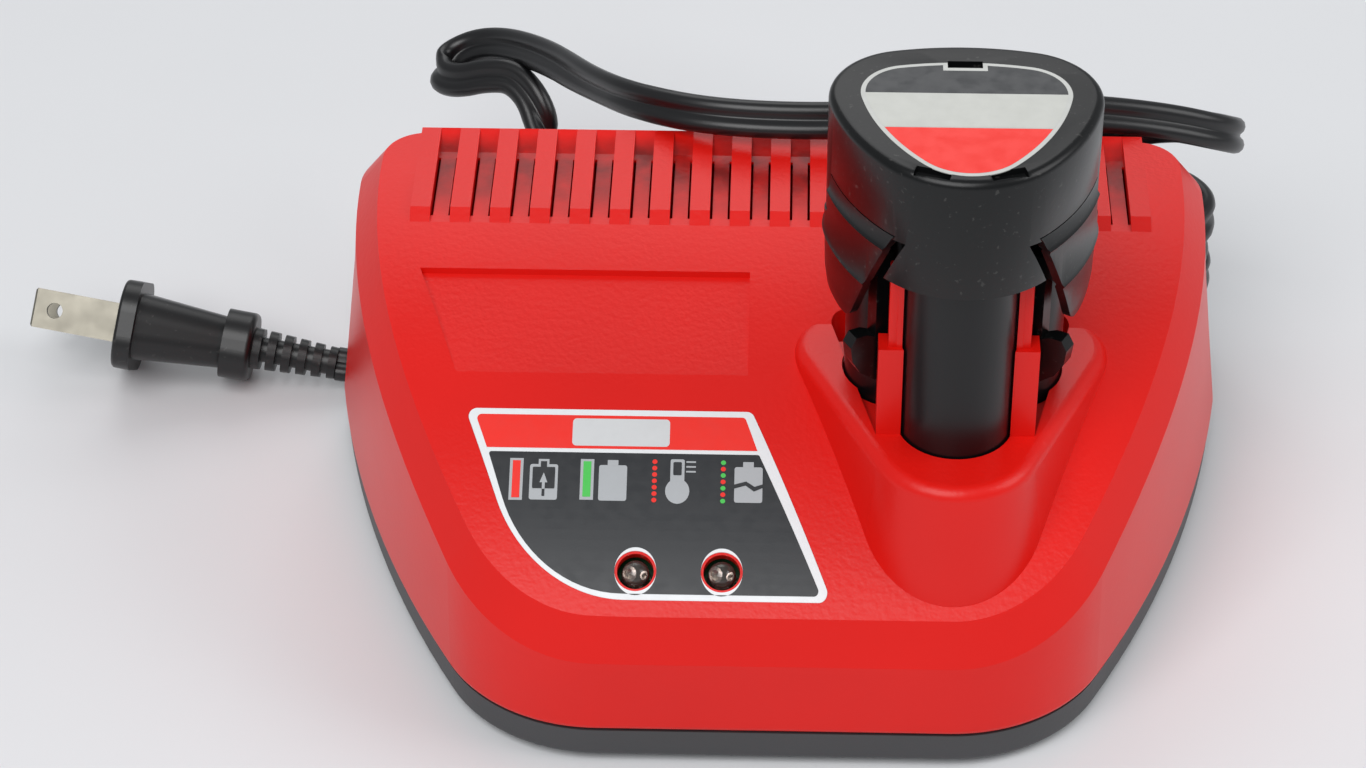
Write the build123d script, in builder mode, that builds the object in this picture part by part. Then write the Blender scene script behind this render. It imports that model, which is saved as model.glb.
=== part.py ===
from build123d import *
import math
import os

# Bench charger for a slide-in battery pack, lying on its rubber feet.
# +X is to the right seen from the front, +Y to the rear, +Z up, millimetres.
# The origin is on the ground, under the middle of the housing.

os.makedirs("parts", exist_ok=True)

# ---------------------------------------------------------------- fits
fit_gap = 0.3
seat_gap = 0.05
wall = 2.5

# ---------------------------------------------------------------- housing
case_depth = 110.4
case_height = 65.0
front_half_width = 49.1
rear_half_width = 88.5
side_bulge_radius = 250.0
front_corner_radius = 31.0
rear_corner_radius = 12.0
roof_front_half_width = 47.0
roof_rear_half_width = 78.3
roof_bulge_radius = 146.0
roof_front_lean = 0.5
roof_rear_lean = 0.8
roof_radius = 175.3
roof_crest_y = 49.5
edge_chamfer_in = 3.9
edge_chamfer_down = 6.2
rear_edge_radius = 1.2

foot_height = 1.5
foot_radius = 6.0
foot_recess = 1.0
base_floor = 2.5
base_height = 6.4
base_inset = 0.5
base_edge_radius = 1.5
shadow_gap = 0.4
tongue_height = 2.2
tongue_thickness = 1.4

# ---------------------------------------------------------------- vents
slat_pitch = 7.47
slat_count = 19
vent_front_y = 23.7
vent_lip_y = 26.4
vent_ramp_y = 47.0
vent_rear_y = 52.4
slat_rise = 1.6
groove_depth = 0.1
gap_width = 0.45
gap_front_y = 26.0
gap_rear_y = 45.0

# ---------------------------------------------------------------- badge recess
recess_rear_y = 12.1
recess_front_y = -10.5
recess_left_x = -66.2
recess_left_slant = 8.2
recess_right_x = -5.3
recess_depth = 1.3

# ---------------------------------------------------------------- indicators
label_rear_y = -17.6
label_front_y = -49.4
label_left_x = -55.9
label_right_x = -4.4
label_left_slant = 12.8
label_right_slant = 14.6
label_sweep_radius = 25.0
label_corner_radius = 1.5
label_thickness = 0.3
led_x = -16.8
led_spacing = 15.2
led_y = -45.0
led_radius = 2.5
led_flange_radius = 2.9
led_height = 8.7
led_sunk = 0.2
led_hole_radius = 3.25
led_window_radius = 3.7

# ---------------------------------------------------------------- battery bay
battery_x = 31.3
battery_y = -16.8
lobe_pitch_radius = 11.0
lobe_radius = 9.8
lobe_blend_radius = 2.0
socket_clearance = 0.4
rim_z = 58.0
rim_apex_radius = 15.0
rim_front_y = -47.2
rim_shoulder_x = 17.5
rim_shoulder_y = -5.0
rim_shoulder_radius = 10.5
rim_edge_radius = 2.4
tower_foot_z = 30.0
tower_flare = 3.0
bay_front_half = 13.9
bay_rear_half = 22.4
bay_front_y = -31.3
bay_rear_y = 4.0
bay_corner_radius = 3.0
bay_depth = 9.0
socket_depth = 20.3
socket_wall = 2.2
rail_rear_y = -26.5
rail_top_z = 76.5
fin_half_width = 10.8
fin_front_y = -30.5
fin_rear_y = -28.4

# ---------------------------------------------------------------- battery pack
cap_bottom_z = 94.5
cap_top_z = 118.0
cap_reach = 13.6
cap_wall = 2.2
cap_edge_radius = 3.0
cap_corner_radius = 6.0
cap_rear_y = 1.5
deck_rise = 1.5
deck_thickness = 1.6
stem_wall = 0.6
stem_floor = 1.5
crease_reach = 1.6
cell_radius = 9.1
cell_height = 65.0
cell_lift = 6.0
strap_thickness = 0.3
board_thickness = 1.6
pack_label_reach = 8.4
pack_label_thickness = 0.3
pack_label_shift_y = -2.0

# ---------------------------------------------------------------- release latches
latch_hinge_z = 102.5
latch_top_z = 104.0
latch_tip_z = 76.0
latch_toe_z = 66.0
slit_width = 1.2
latch_overhang = 13.2
latch_top_front_u = -2.0
latch_top_rear_u = 19.5
latch_front_tip_u = 14.2
leg_front_u = 8.6
leg_width = 2.8
leg_inner = 8.5
leg_thickness = 3.1
hook_reach = 16.3
hook_top_z = 76.5
pivot_radius = 0.7
pivot_length = 1.6

# ---------------------------------------------------------------- electronics
board_x = -6.0
board_y = 12.0
board_length = 106.0
board_width = 64.0
board_z = 14.0
board_inset = 5.0
transformer_x = -12.0
transformer_y = 20.0
core_length = 34.0
core_depth = 17.0
core_height = 29.0
core_leg = 6.5
bobbin_flange = 1.2
fuse_x = -48.0
fuse_y = -11.0
fuse_length = 20.0
fuse_radius = 3.2
fuse_cap_length = 5.0
sink_x = 20.0
sink_y = 30.0
fin_pitch = 4.0
rectifier_x = -30.0
rectifier_y = -3.0
contact_height = 4.4
contact_pitch = 6.0
contact_thickness = 0.8
contact_width = 5.0
led_board_length = 36.0
led_board_width = 11.0
led_screw_offset = 14.5

# ---------------------------------------------------------------- fixings
screw_shank_radius = 1.4
screw_head_radius = 2.7
case_screw_length = 22.0
screw_counterbore_depth = 4.0
boss_radius = 3.6
standoff_radius = 3.4
keyhole_spacing = 76.0
keyhole_y = -2.0
keyhole_head_radius = 4.5
keyhole_slot_radius = 2.3
keyhole_slot_length = 9.0
base_vent_pitch = 6.0
base_vent_count = 9
base_vent_width = 2.4
base_vent_length = 24.0
case_screw_places = [(-54.0, -26.0), (56.0, -26.0), (-66.0, 22.0), (66.0, 22.0)]
foot_places = [(-36.0, -43.0), (36.0, -43.0), (-72.0, 41.0), (72.0, 41.0)]

# ---------------------------------------------------------------- supply cord
cord_diameter = 5.2
inlet_x = -25.0
inlet_z = 16.0
bushing_radius = 4.9
bushing_reach = 24.0
hank_centre_x = 36.5
hank_length = 101.0
hank_width = 27.0
hank_front_y = 57.5
hank_bottom_z = 1.3
hank_height = 43.0
tie_width = 8.0
tie_thickness = 1.0

# ---------------------------------------------------------------- mains plug
plug_x = -133.0
plug_y = 57.7
plug_z = 12.6
plug_run_x = 42.0
plug_run_y = -2.9
plug_run_z = -7.0
plug_roll = 38.0
flange_long = 25.0
flange_short = 18.0
flange_thickness = 3.6
blade_spacing = 12.7
blade_length = 17.5
blade_thickness = 1.5
blade_width = 6.35
wide_blade_width = 7.9
blade_hole_radius = 1.6
plug_body_length = 21.0
collar_length = 6.0
relief_length = 17.0

# ---------------------------------------------------------------- derived levels
front_y = -case_depth / 2
rear_y = case_depth / 2
base_top_z = foot_height + base_height
parting_z = base_top_z + shadow_gap
case_floor_z = foot_height + base_floor
roof_section_z = case_height + 3
socket_floor_z = rim_z - socket_depth
stem_bottom_z = socket_floor_z + fit_gap
board_top_z = board_z + board_thickness
front_lobe_y = battery_y - lobe_pitch_radius
lobe_side = lobe_pitch_radius * math.sqrt(3)
cell_bottom_z = stem_bottom_z + cell_lift
cell_top_z = cell_bottom_z + cell_height
window_length = 4 * contact_pitch - 4
window_width = 3 * contact_pitch


def roof_z(y):
    """Height of the housing's arched top at a distance y from the middle."""
    return case_height - roof_radius + math.sqrt(roof_radius**2 - (y - roof_crest_y) ** 2)


def case_section(z, half_widths, ends, bulge_radius, corner_radii, inset):
    """Level outline of the housing: wide at the rear, with bowed sides."""
    front_half, rear_half = half_widths
    front, rear = ends
    with BuildSketch(Plane.XY.offset(z)) as section:
        with BuildLine():
            front_line = Line((-front_half, front), (front_half, front))
            right = RadiusArc(front_line @ 1, (rear_half, rear), -bulge_radius)
            rear_line = Line(right @ 1, (-rear_half, rear))
            RadiusArc(rear_line @ 1, front_line @ 0, -bulge_radius)
        make_face()
        fillet(section.vertices().group_by(Axis.Y)[0], corner_radii[0])
        fillet(section.vertices().group_by(Axis.Y)[-1], corner_radii[1])
        if inset:
            offset(amount=-inset)
    return section.sketch


def parting_section(z, inset):
    """Outline at the parting line, moved to height z and drawn in by inset."""
    return case_section(
        z,
        (front_half_width, rear_half_width),
        (front_y, rear_y),
        side_bulge_radius,
        (front_corner_radius, rear_corner_radius),
        inset,
    )


def roof_section(z, inset):
    """Outline just above the roof, drawn in by inset."""
    return case_section(
        z,
        (roof_front_half_width, roof_rear_half_width),
        (front_y + roof_front_lean, rear_y - roof_rear_lean),
        roof_bulge_radius,
        (front_corner_radius, rear_corner_radius),
        inset,
    )


def roof_band(top, bottom):
    """Slab that follows the roof's arch, from top to bottom below the outer face."""
    with BuildSketch(Plane.YZ) as band:
        with Locations((roof_crest_y, case_height - roof_radius)):
            Circle(roof_radius - top)
            Circle(roof_radius - bottom, mode=Mode.SUBTRACT)
        with Locations((roof_crest_y - roof_radius, case_height)):
            Rectangle(2 * roof_radius, roof_radius, mode=Mode.INTERSECT)
    with BuildPart() as slab:
        extrude(band.sketch, amount=rear_half_width, both=True)
    return slab.part


def case_form(inset):
    """Housing block under its arched roof, every face drawn in by inset."""
    with BuildPart() as form:
        loft(sections=[parting_section(parting_z, inset), roof_section(roof_section_z, inset)], ruled=True)
        with BuildSketch(Plane.YZ) as arch:
            with Locations((roof_crest_y, case_height - roof_radius)):
                Circle(roof_radius - inset)
        extrude(arch.sketch, amount=rear_half_width, both=True, mode=Mode.INTERSECT)
        roof = form.faces().sort_by(Axis.Z)[-1]
        rim = roof.edges().sort_by(Axis.Y)[:-1]
        chamfer(rim, edge_chamfer_in, edge_chamfer_down, reference=roof)
    return form.part


def three_circles(plane, apex, shoulder):
    """Rounded triangle round the battery's axis; each circle is x, y, radius."""
    with BuildSketch(plane) as triangle:
        for side_x, y, radius in (apex, shoulder, (-shoulder[0], shoulder[1], shoulder[2])):
            with Locations((battery_x + side_x, y)):
                Circle(radius)
        make_hull()
    return triangle.sketch


def tower_section(z, growth):
    """Rounded triangle of the battery tower, apex to the front."""
    apex = (0, rim_front_y + rim_apex_radius, rim_apex_radius + growth)
    shoulder = (rim_shoulder_x, rim_shoulder_y, rim_shoulder_radius + growth)
    return three_circles(Plane.XY.offset(z), apex, shoulder)


def pack_section(z, reach):
    """Rounded triangle of the battery cap: all points within reach of the cell triangle."""
    shoulder_y = battery_y + lobe_pitch_radius / 2
    apex = (0, front_lobe_y, reach)
    return three_circles(Plane.XY.offset(z), apex, (lobe_side / 2, shoulder_y, reach))


def lobes(z, radius):
    """Three overlapping rounds, one round each cell."""
    with BuildSketch(Plane.XY.offset(z)) as trefoil:
        with Locations((battery_x, battery_y)):
            with PolarLocations(lobe_pitch_radius, 3, start_angle=-90):
                Circle(radius)
            RegularPolygon(lobe_pitch_radius, 3, rotation=-90)
        creases = [v for v in trefoil.vertices() if battery_gap(v) < lobe_radius]
        fillet(creases, lobe_blend_radius)
    return trefoil.sketch


def battery_gap(vertex):
    """Distance of a vertex from the battery's axis, in plan."""
    return math.hypot(vertex.X - battery_x, vertex.Y - battery_y)


def bay_section(z, growth):
    """Opening for the release hooks: a trapezium round the battery's flanks."""
    with BuildSketch(Plane.XY.offset(z)) as bay:
        with BuildLine():
            Polyline(
                (battery_x - bay_front_half, bay_front_y),
                (battery_x + bay_front_half, bay_front_y),
                (battery_x + bay_rear_half, bay_rear_y),
                (battery_x - bay_rear_half, bay_rear_y),
                close=True,
            )
        make_face()
        fillet(bay.vertices().group_by(Axis.Y)[-1], bay_corner_radius)
        if growth:
            offset(amount=growth)
    return bay.sketch


def label_outline(z, growth):
    """Indicator label in plan: slanting ends and one swept front corner."""
    with BuildSketch(Plane.XY.offset(z)) as outline:
        with BuildLine():
            Polyline(
                (label_left_x, label_rear_y),
                (label_right_x, label_rear_y),
                (label_right_x + label_right_slant, label_front_y),
                (label_left_x + label_left_slant, label_front_y),
                close=True,
            )
        make_face()
        swept = outline.vertices().group_by(Axis.Y)[0].sort_by(Axis.X)[0]
        fillet(swept, label_sweep_radius)
        sharp = [v for v in outline.vertices() if v.Y > label_rear_y - 1 or v.X > label_right_x]
        fillet(sharp, label_corner_radius)
        if growth:
            offset(amount=growth)
    return outline.sketch


def roof_plane(x, y, sunk):
    """Plane lying on the roof at x, y, sunk below its face, facing outwards."""
    lean = math.asin((roof_crest_y - y) / roof_radius)
    normal = Vector(0, -math.sin(lean), math.cos(lean))
    return Plane(origin=Vector(x, y, roof_z(y)) - normal * sunk, x_dir=(1, 0, 0), z_dir=normal)


def save(piece, label):
    """Name a finished piece after its node and write it as STEP."""
    piece.part.label = label
    export_step(piece.part, f"parts/{label}.step")


board_screw_places = [
    (board_x + side * (board_length / 2 - board_inset), board_y + end * (board_width / 2 - board_inset))
    for side in (-1, 1)
    for end in (-1, 1)
]
led_places = [led_x - led_spacing / 2, led_x + led_spacing / 2]
led_board_sunk = led_height - led_sunk

# ---------------------------------------------------------------- upper housing
# The tower is made by itself, so that its rim is rounded before it joins the roof.
with BuildPart() as tower:
    loft(sections=[tower_section(tower_foot_z, tower_flare), tower_section(rim_z, 0)], ruled=True)
    fillet(tower.faces().sort_by(Axis.Z)[-1].edges(), rim_edge_radius)

with BuildPart() as tower_hollow:
    loft(
        sections=[tower_section(tower_foot_z, tower_flare - wall), tower_section(rim_z - wall, -wall)],
        ruled=True,
    )

# Profile of the louvre deck: a raised block with a ramped front, cut into slats.
deck_half = slat_pitch * (slat_count - 0.5) / 2
deck_front_z = roof_z(vent_front_y)
deck_base_z = deck_front_z - wall / 2
groove_z = deck_front_z - groove_depth
with BuildSketch(Plane.YZ) as deck:
    with BuildLine():
        Polyline(
            (vent_front_y, deck_base_z),
            (vent_front_y, deck_front_z),
            (vent_lip_y, deck_front_z + slat_rise),
            (vent_rear_y, roof_z(vent_rear_y)),
            (vent_rear_y, deck_base_z),
            close=True,
        )
    make_face()
with BuildSketch(Plane.YZ.offset(-slat_pitch / 4)) as groove:
    with BuildLine():
        Polyline(
            (vent_front_y, groove_z),
            (vent_ramp_y, groove_z),
            (vent_rear_y, roof_z(vent_rear_y)),
            (vent_rear_y, case_height + slat_rise),
            (vent_front_y, case_height + slat_rise),
            close=True,
        )
    make_face()
with BuildPart() as groove_cut:
    extrude(groove.sketch, amount=slat_pitch / 2)

# Shallow recess with a ledge at its rear, fading out towards the front.
recess_bed_z = roof_z(recess_rear_y) - recess_depth
with BuildSketch(Plane.XY.offset(case_height)) as badge:
    with BuildLine():
        Polyline(
            (recess_left_x, recess_rear_y),
            (recess_right_x, recess_rear_y),
            (recess_right_x, recess_front_y),
            (recess_left_x + recess_left_slant, recess_front_y),
            close=True,
        )
    make_face()
with BuildSketch(Plane.YZ) as recess_slope:
    with BuildLine():
        Polyline(
            (recess_front_y, roof_z(recess_front_y)),
            (recess_rear_y, recess_bed_z),
            (recess_rear_y, case_height),
            (recess_front_y, case_height),
            close=True,
        )
    make_face()
with BuildPart() as recess:
    extrude(badge.sketch, amount=-case_height)
    extrude(recess_slope.sketch, amount=rear_half_width, both=True, mode=Mode.INTERSECT)

with BuildPart() as label_seat:
    extrude(label_outline(parting_z, seat_gap), amount=case_height)
    add(roof_band(-1, label_thickness), mode=Mode.INTERSECT)

# Battery well: a thick-walled box under the rim, open for the hooks above
# and shaped to the three cells below.
well_bottom_z = socket_floor_z - socket_wall
well_height = rim_z - wall / 2 - well_bottom_z
with BuildPart() as well:
    extrude(bay_section(well_bottom_z, socket_wall), amount=well_height)
    extrude(lobes(well_bottom_z, lobe_radius + socket_clearance + socket_wall), amount=well_height)

with BuildPart() as upper_housing:
    add(case_form(0))
    rear_edge = upper_housing.edges().filter_by(Axis.X).sort_by(Axis.Z)[-1]
    fillet(rear_edge, rear_edge_radius)
    add(tower.part)
    extrude(deck.sketch, amount=deck_half, both=True)
    with Locations(*[((i - slat_count / 2 + 1) * slat_pitch, 0) for i in range(slat_count - 1)]):
        add(groove_cut.part, mode=Mode.SUBTRACT)
    add(recess.part, mode=Mode.SUBTRACT)
    add(label_seat.part, mode=Mode.SUBTRACT)
    add(case_form(wall), mode=Mode.SUBTRACT)
    add(tower_hollow.part, mode=Mode.SUBTRACT)
    add(well.part)
    bay_floor_z = rim_z - bay_depth
    extrude(bay_section(bay_floor_z, 0), amount=cap_bottom_z - bay_floor_z, mode=Mode.SUBTRACT)

    # Guide rails beside the front lobe, each with a thin fin running on up.
    rail_depth = rail_rear_y - bay_front_y
    with BuildSketch(Plane.XY.offset(rim_z - bay_depth - wall / 2)) as rails:
        with Locations((battery_x, (bay_front_y + rail_rear_y) / 2)):
            Rectangle(2 * bay_front_half, rail_depth)
    extrude(rails.sketch, amount=rail_top_z - rim_z + bay_depth + wall / 2)
    with BuildSketch(Plane.XY.offset(rail_top_z - 1)) as fins:
        with Locations((battery_x, (fin_front_y + fin_rear_y) / 2)):
            Rectangle(2 * fin_half_width, fin_rear_y - fin_front_y)
    extrude(fins.sketch, amount=cap_bottom_z - 2 * fit_gap - rail_top_z + 1)
    socket = lobes(socket_floor_z, lobe_radius + socket_clearance)
    extrude(socket, amount=cap_bottom_z - socket_floor_z, mode=Mode.SUBTRACT)

    # Way through the well's floor for the contacts.
    with BuildSketch(Plane.XY.offset(socket_floor_z)) as contact_window:
        with Locations((battery_x, battery_y)):
            Rectangle(window_length, window_width)
    extrude(contact_window.sketch, amount=-socket_wall, mode=Mode.SUBTRACT)

    # Screw bosses hang from the roof; the screws come up through the base.
    for x, y in case_screw_places:
        boss_top = roof_z(y - boss_radius) - wall / 2
        boss_bottom = parting_z + tongue_height
        with BuildSketch(Plane.XY.offset(boss_bottom)) as boss:
            with Locations((x, y)):
                Circle(boss_radius)
        extrude(boss.sketch, amount=boss_top - boss_bottom)
        with BuildSketch(Plane.XY.offset(boss_bottom)) as pilot:
            with Locations((x, y)):
                Circle(screw_shank_radius + seat_gap)
        extrude(pilot.sketch, amount=case_screw_length, mode=Mode.SUBTRACT)

    # Posts for the indicator board, and the two lens holes, square to the roof.
    for side in (-1, 1):
        post_x = led_x + side * led_screw_offset
        with BuildSketch(roof_plane(post_x, led_y, led_board_sunk)) as post:
            Circle(standoff_radius - 0.6)
            Circle(screw_shank_radius - 0.4, mode=Mode.SUBTRACT)
        extrude(post.sketch, amount=led_board_sunk - wall / 2)
    for x in led_places:
        with BuildSketch(roof_plane(x, led_y, wall + 1)) as led_hole:
            Circle(led_hole_radius)
        extrude(led_hole.sketch, amount=wall + 2, mode=Mode.SUBTRACT)

    # Narrow air gaps on both sides of each groove's floor.
    gap_length = gap_rear_y - gap_front_y
    with BuildSketch(Plane.XY.offset(case_height - 2 * wall)) as gaps:
        for i in range(slat_count - 1):
            groove_x = (i - slat_count / 2 + 1) * slat_pitch
            for side in (-1, 1):
                gap_x = groove_x + side * (slat_pitch / 4 - gap_width / 2)
                with Locations((gap_x, (gap_front_y + gap_rear_y) / 2)):
                    Rectangle(gap_width, gap_length)
    extrude(gaps.sketch, amount=3 * wall, mode=Mode.SUBTRACT)

    # Hole for the cord's bushing in the rear wall.
    with BuildSketch(Plane.XZ.offset(-rear_y + 2 * wall)) as inlet:
        with Locations((inlet_x, inlet_z)):
            Circle(bushing_radius + seat_gap)
    extrude(inlet.sketch, amount=-3 * wall, mode=Mode.SUBTRACT)
save(upper_housing, "upper_housing")

# ---------------------------------------------------------------- lower housing
standoff_height = board_z - case_floor_z
tongue_inset = wall + fit_gap
tongue_start = base_top_z - wall
tongue_length = wall + shadow_gap + tongue_height - fit_gap
with BuildPart() as tongue:
    extrude(parting_section(tongue_start, tongue_inset), amount=tongue_length)
    extrude(
        parting_section(tongue_start, tongue_inset + tongue_thickness),
        amount=tongue_length,
        mode=Mode.SUBTRACT,
    )

with BuildPart() as lower_housing:
    extrude(parting_section(foot_height, base_inset), amount=base_height)
    fillet(lower_housing.faces().sort_by(Axis.Z)[0].edges(), base_edge_radius)
    extrude(parting_section(case_floor_z, base_inset + wall), amount=base_height, mode=Mode.SUBTRACT)
    add(tongue.part)

    # Screw pillars meet the bosses of the upper housing; standoffs carry the board.
    pillar_top = parting_z + tongue_height
    with BuildSketch(Plane.XY.offset(foot_height + base_edge_radius)) as pillars:
        with Locations(*case_screw_places):
            Circle(boss_radius + 1.4)
    extrude(pillars.sketch, amount=pillar_top - foot_height - base_edge_radius)
    with BuildSketch(Plane.XY.offset(case_floor_z)) as standoffs:
        with Locations(*board_screw_places):
            Circle(standoff_radius)
    extrude(standoffs.sketch, amount=standoff_height)
    with BuildSketch(Plane.XY.offset(board_z)) as board_pilots:
        with Locations(*board_screw_places):
            Circle(screw_shank_radius + seat_gap)
    extrude(board_pilots.sketch, amount=-standoff_height + 1, mode=Mode.SUBTRACT)
    with Locations(Plane.XY.offset(foot_height).rotated((180, 0, 0))):
        with Locations(*[(x, -y) for x, y in case_screw_places]):
            CounterBoreHole(
                screw_shank_radius + seat_gap,
                screw_head_radius + fit_gap,
                screw_counterbore_depth,
                pillar_top,
            )

    # Recesses for the feet, keyholes for a wall, and the air inlets.
    with BuildSketch(Plane.XY.offset(foot_height)) as foot_seats:
        with Locations(*foot_places):
            Circle(foot_radius + seat_gap)
    extrude(foot_seats.sketch, amount=foot_recess, mode=Mode.SUBTRACT)
    with BuildSketch(Plane.XY.offset(foot_height)) as keyholes:
        with Locations((-keyhole_spacing / 2, keyhole_y), (keyhole_spacing / 2, keyhole_y)):
            Circle(keyhole_head_radius)
        slot_y = keyhole_y + keyhole_slot_length / 2
        with Locations((-keyhole_spacing / 2, slot_y), (keyhole_spacing / 2, slot_y)):
            SlotCenterToCenter(keyhole_slot_length, 2 * keyhole_slot_radius, rotation=90)
    extrude(keyholes.sketch, amount=base_floor, mode=Mode.SUBTRACT)
    with BuildSketch(Plane.XY.offset(foot_height)) as base_vents:
        with Locations((0, board_y + 8)):
            with GridLocations(base_vent_pitch, 1, base_vent_count, 1):
                SlotOverall(base_vent_length, base_vent_width, rotation=90)
    extrude(base_vents.sketch, amount=base_floor, mode=Mode.SUBTRACT)
save(lower_housing, "lower_housing")

with BuildPart() as rubber_feet:
    with BuildSketch() as foot_rounds:
        with Locations(*foot_places):
            Circle(foot_radius)
    extrude(foot_rounds.sketch, amount=foot_height + foot_recess)
    chamfer(rubber_feet.faces().group_by(Axis.Z)[0].edges(), 0.6)
save(rubber_feet, "rubber_feet")


def pan_screw(head_radius, head_height, length):
    """Round-head screw, head down, with a cross recess; its seat is at z = 0."""
    with BuildPart() as screw:
        with BuildSketch(Plane.XY.offset(-head_height)):
            Circle(head_radius)
        extrude(amount=head_height)
        fillet(screw.edges().group_by(Axis.Z)[0], head_height * 0.4)
        with BuildSketch():
            Circle(screw_shank_radius)
        extrude(amount=length)
        chamfer(screw.edges().group_by(Axis.Z)[-1], screw_shank_radius * 0.4)
        with BuildSketch(Plane.XY.offset(-head_height)):
            Rectangle(head_radius, head_radius * 0.25)
            Rectangle(head_radius * 0.25, head_radius)
        extrude(amount=head_height * 0.5, mode=Mode.SUBTRACT)
    return screw.part


with BuildPart() as case_screws:
    case_screw = pan_screw(screw_head_radius, 2.0, case_screw_length)
    with Locations(*[(x, y, foot_height + screw_counterbore_depth) for x, y in case_screw_places]):
        add(case_screw)
save(case_screws, "case_screws")

# ---------------------------------------------------------------- indicators
with BuildPart() as indicator_label:
    extrude(label_outline(parting_z, 0), amount=case_height)
    add(roof_band(0, label_thickness), mode=Mode.INTERSECT)
    for x in led_places:
        with BuildSketch(roof_plane(x, led_y, wall)) as window:
            Circle(led_window_radius)
        extrude(window.sketch, amount=2 * wall, mode=Mode.SUBTRACT)
save(indicator_label, "indicator_label")


def indicator_led(x):
    """Domed lamp standing on the indicator board, its tip just under the roof."""
    with BuildPart() as led:
        with BuildSketch(roof_plane(x, led_y, led_board_sunk)) as flange:
            Circle(led_flange_radius)
        extrude(flange.sketch, amount=1.0)
        with BuildSketch(roof_plane(x, led_y, led_board_sunk)) as bulb:
            Circle(led_radius)
        extrude(bulb.sketch, amount=led_height)
        fillet(led.faces().sort_by(Axis((0, 0, 0), roof_plane(x, led_y, 0).z_dir))[-1].edges(), led_radius - 0.02)
    return led


red_led = indicator_led(led_places[0])
save(red_led, "red_led")
green_led = indicator_led(led_places[1])
save(green_led, "green_led")

with BuildPart() as indicator_board:
    with BuildSketch(roof_plane(led_x, led_y, led_board_sunk)) as led_board:
        RectangleRounded(led_board_length, led_board_width, 1.0)
        with GridLocations(2 * led_screw_offset, 1, 2, 1):
            Circle(screw_shank_radius - 0.3, mode=Mode.SUBTRACT)
    extrude(led_board.sketch, amount=-board_thickness)
save(indicator_board, "indicator_board")

with BuildPart() as indicator_screws:
    for side in (-1, 1):
        screw_plane = roof_plane(led_x + side * led_screw_offset, led_y, led_board_sunk)
        with BuildSketch(screw_plane.offset(-board_thickness)) as head:
            Circle(screw_head_radius - 0.6)
        extrude(head.sketch, amount=-1.4)
        with BuildSketch(screw_plane.offset(-board_thickness)) as shank:
            Circle(screw_shank_radius - 0.45)
        extrude(shank.sketch, amount=board_thickness + 4)
save(indicator_screws, "indicator_screws")

# ---------------------------------------------------------------- circuit board
with BuildPart() as circuit_board:
    with BuildSketch(Plane.XY.offset(board_z)) as board:
        with Locations((board_x, board_y)):
            RectangleRounded(board_length, board_width, 2.0)
        with Locations(*board_screw_places):
            Circle(screw_shank_radius + fit_gap, mode=Mode.SUBTRACT)
    extrude(board.sketch, amount=board_thickness)
save(circuit_board, "circuit_board")

with BuildPart() as board_screws:
    with BuildSketch(Plane.XY.offset(board_top_z)) as board_heads:
        with Locations(*board_screw_places):
            Circle(screw_head_radius)
    extrude(board_heads.sketch, amount=1.8)
    with BuildSketch(Plane.XY.offset(board_top_z)) as board_shanks:
        with Locations(*board_screw_places):
            Circle(screw_shank_radius)
    extrude(board_shanks.sketch, amount=-board_thickness - 6)
save(board_screws, "board_screws")

with BuildPart() as transformer_core:
    with BuildSketch(Plane.XZ.offset(-transformer_y - core_depth / 2)) as core_face:
        with Locations((transformer_x, board_top_z + core_height / 2)):
            Rectangle(core_length, core_height)
            with GridLocations((core_length - core_leg) / 2, 1, 2, 1):
                Rectangle((core_length - 3 * core_leg) / 2, core_height - 2 * core_leg, mode=Mode.SUBTRACT)
    extrude(core_face.sketch, amount=core_depth)
save(transformer_core, "transformer_core")

window_height = core_height - 2 * core_leg
window_z = board_top_z + core_leg
bobbin_inner = core_leg / 2 + seat_gap
coil_reach = (core_length - 2 * core_leg) / 2 - fit_gap
with BuildPart() as transformer_bobbin:
    for level in (window_z + seat_gap, window_z + window_height - seat_gap - bobbin_flange):
        with BuildSketch(Plane.XY.offset(level)) as flange_plate:
            with Locations((transformer_x, transformer_y)):
                RectangleRounded(2 * coil_reach, core_depth + 2 * coil_reach - core_leg, 2.0)
        extrude(flange_plate.sketch, amount=bobbin_flange)
    with BuildSketch(Plane.XY.offset(window_z + seat_gap)) as bobbin_tube:
        with Locations((transformer_x, transformer_y)):
            Rectangle(2 * bobbin_inner + 1.6, core_depth + 2 * seat_gap + 1.6)
    extrude(bobbin_tube.sketch, amount=window_height - 2 * seat_gap)
    with BuildSketch(Plane.XY.offset(window_z)) as bobbin_bore:
        with Locations((transformer_x, transformer_y)):
            Rectangle(2 * bobbin_inner, core_depth + 2 * seat_gap)
    extrude(bobbin_bore.sketch, amount=window_height, mode=Mode.SUBTRACT)
save(transformer_bobbin, "transformer_bobbin")

with BuildPart() as transformer_winding:
    winding_z = window_z + seat_gap + bobbin_flange
    winding_height = window_height - 2 * seat_gap - 2 * bobbin_flange
    with BuildSketch(Plane.XY.offset(winding_z)) as winding:
        with Locations((transformer_x, transformer_y)):
            RectangleRounded(2 * coil_reach - 1, core_depth + 2 * coil_reach - core_leg - 1, 3.0)
            Rectangle(2 * bobbin_inner + 1.6, core_depth + 2 * seat_gap + 1.6, mode=Mode.SUBTRACT)
    extrude(winding.sketch, amount=winding_height)
save(transformer_winding, "transformer_winding")


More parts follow.
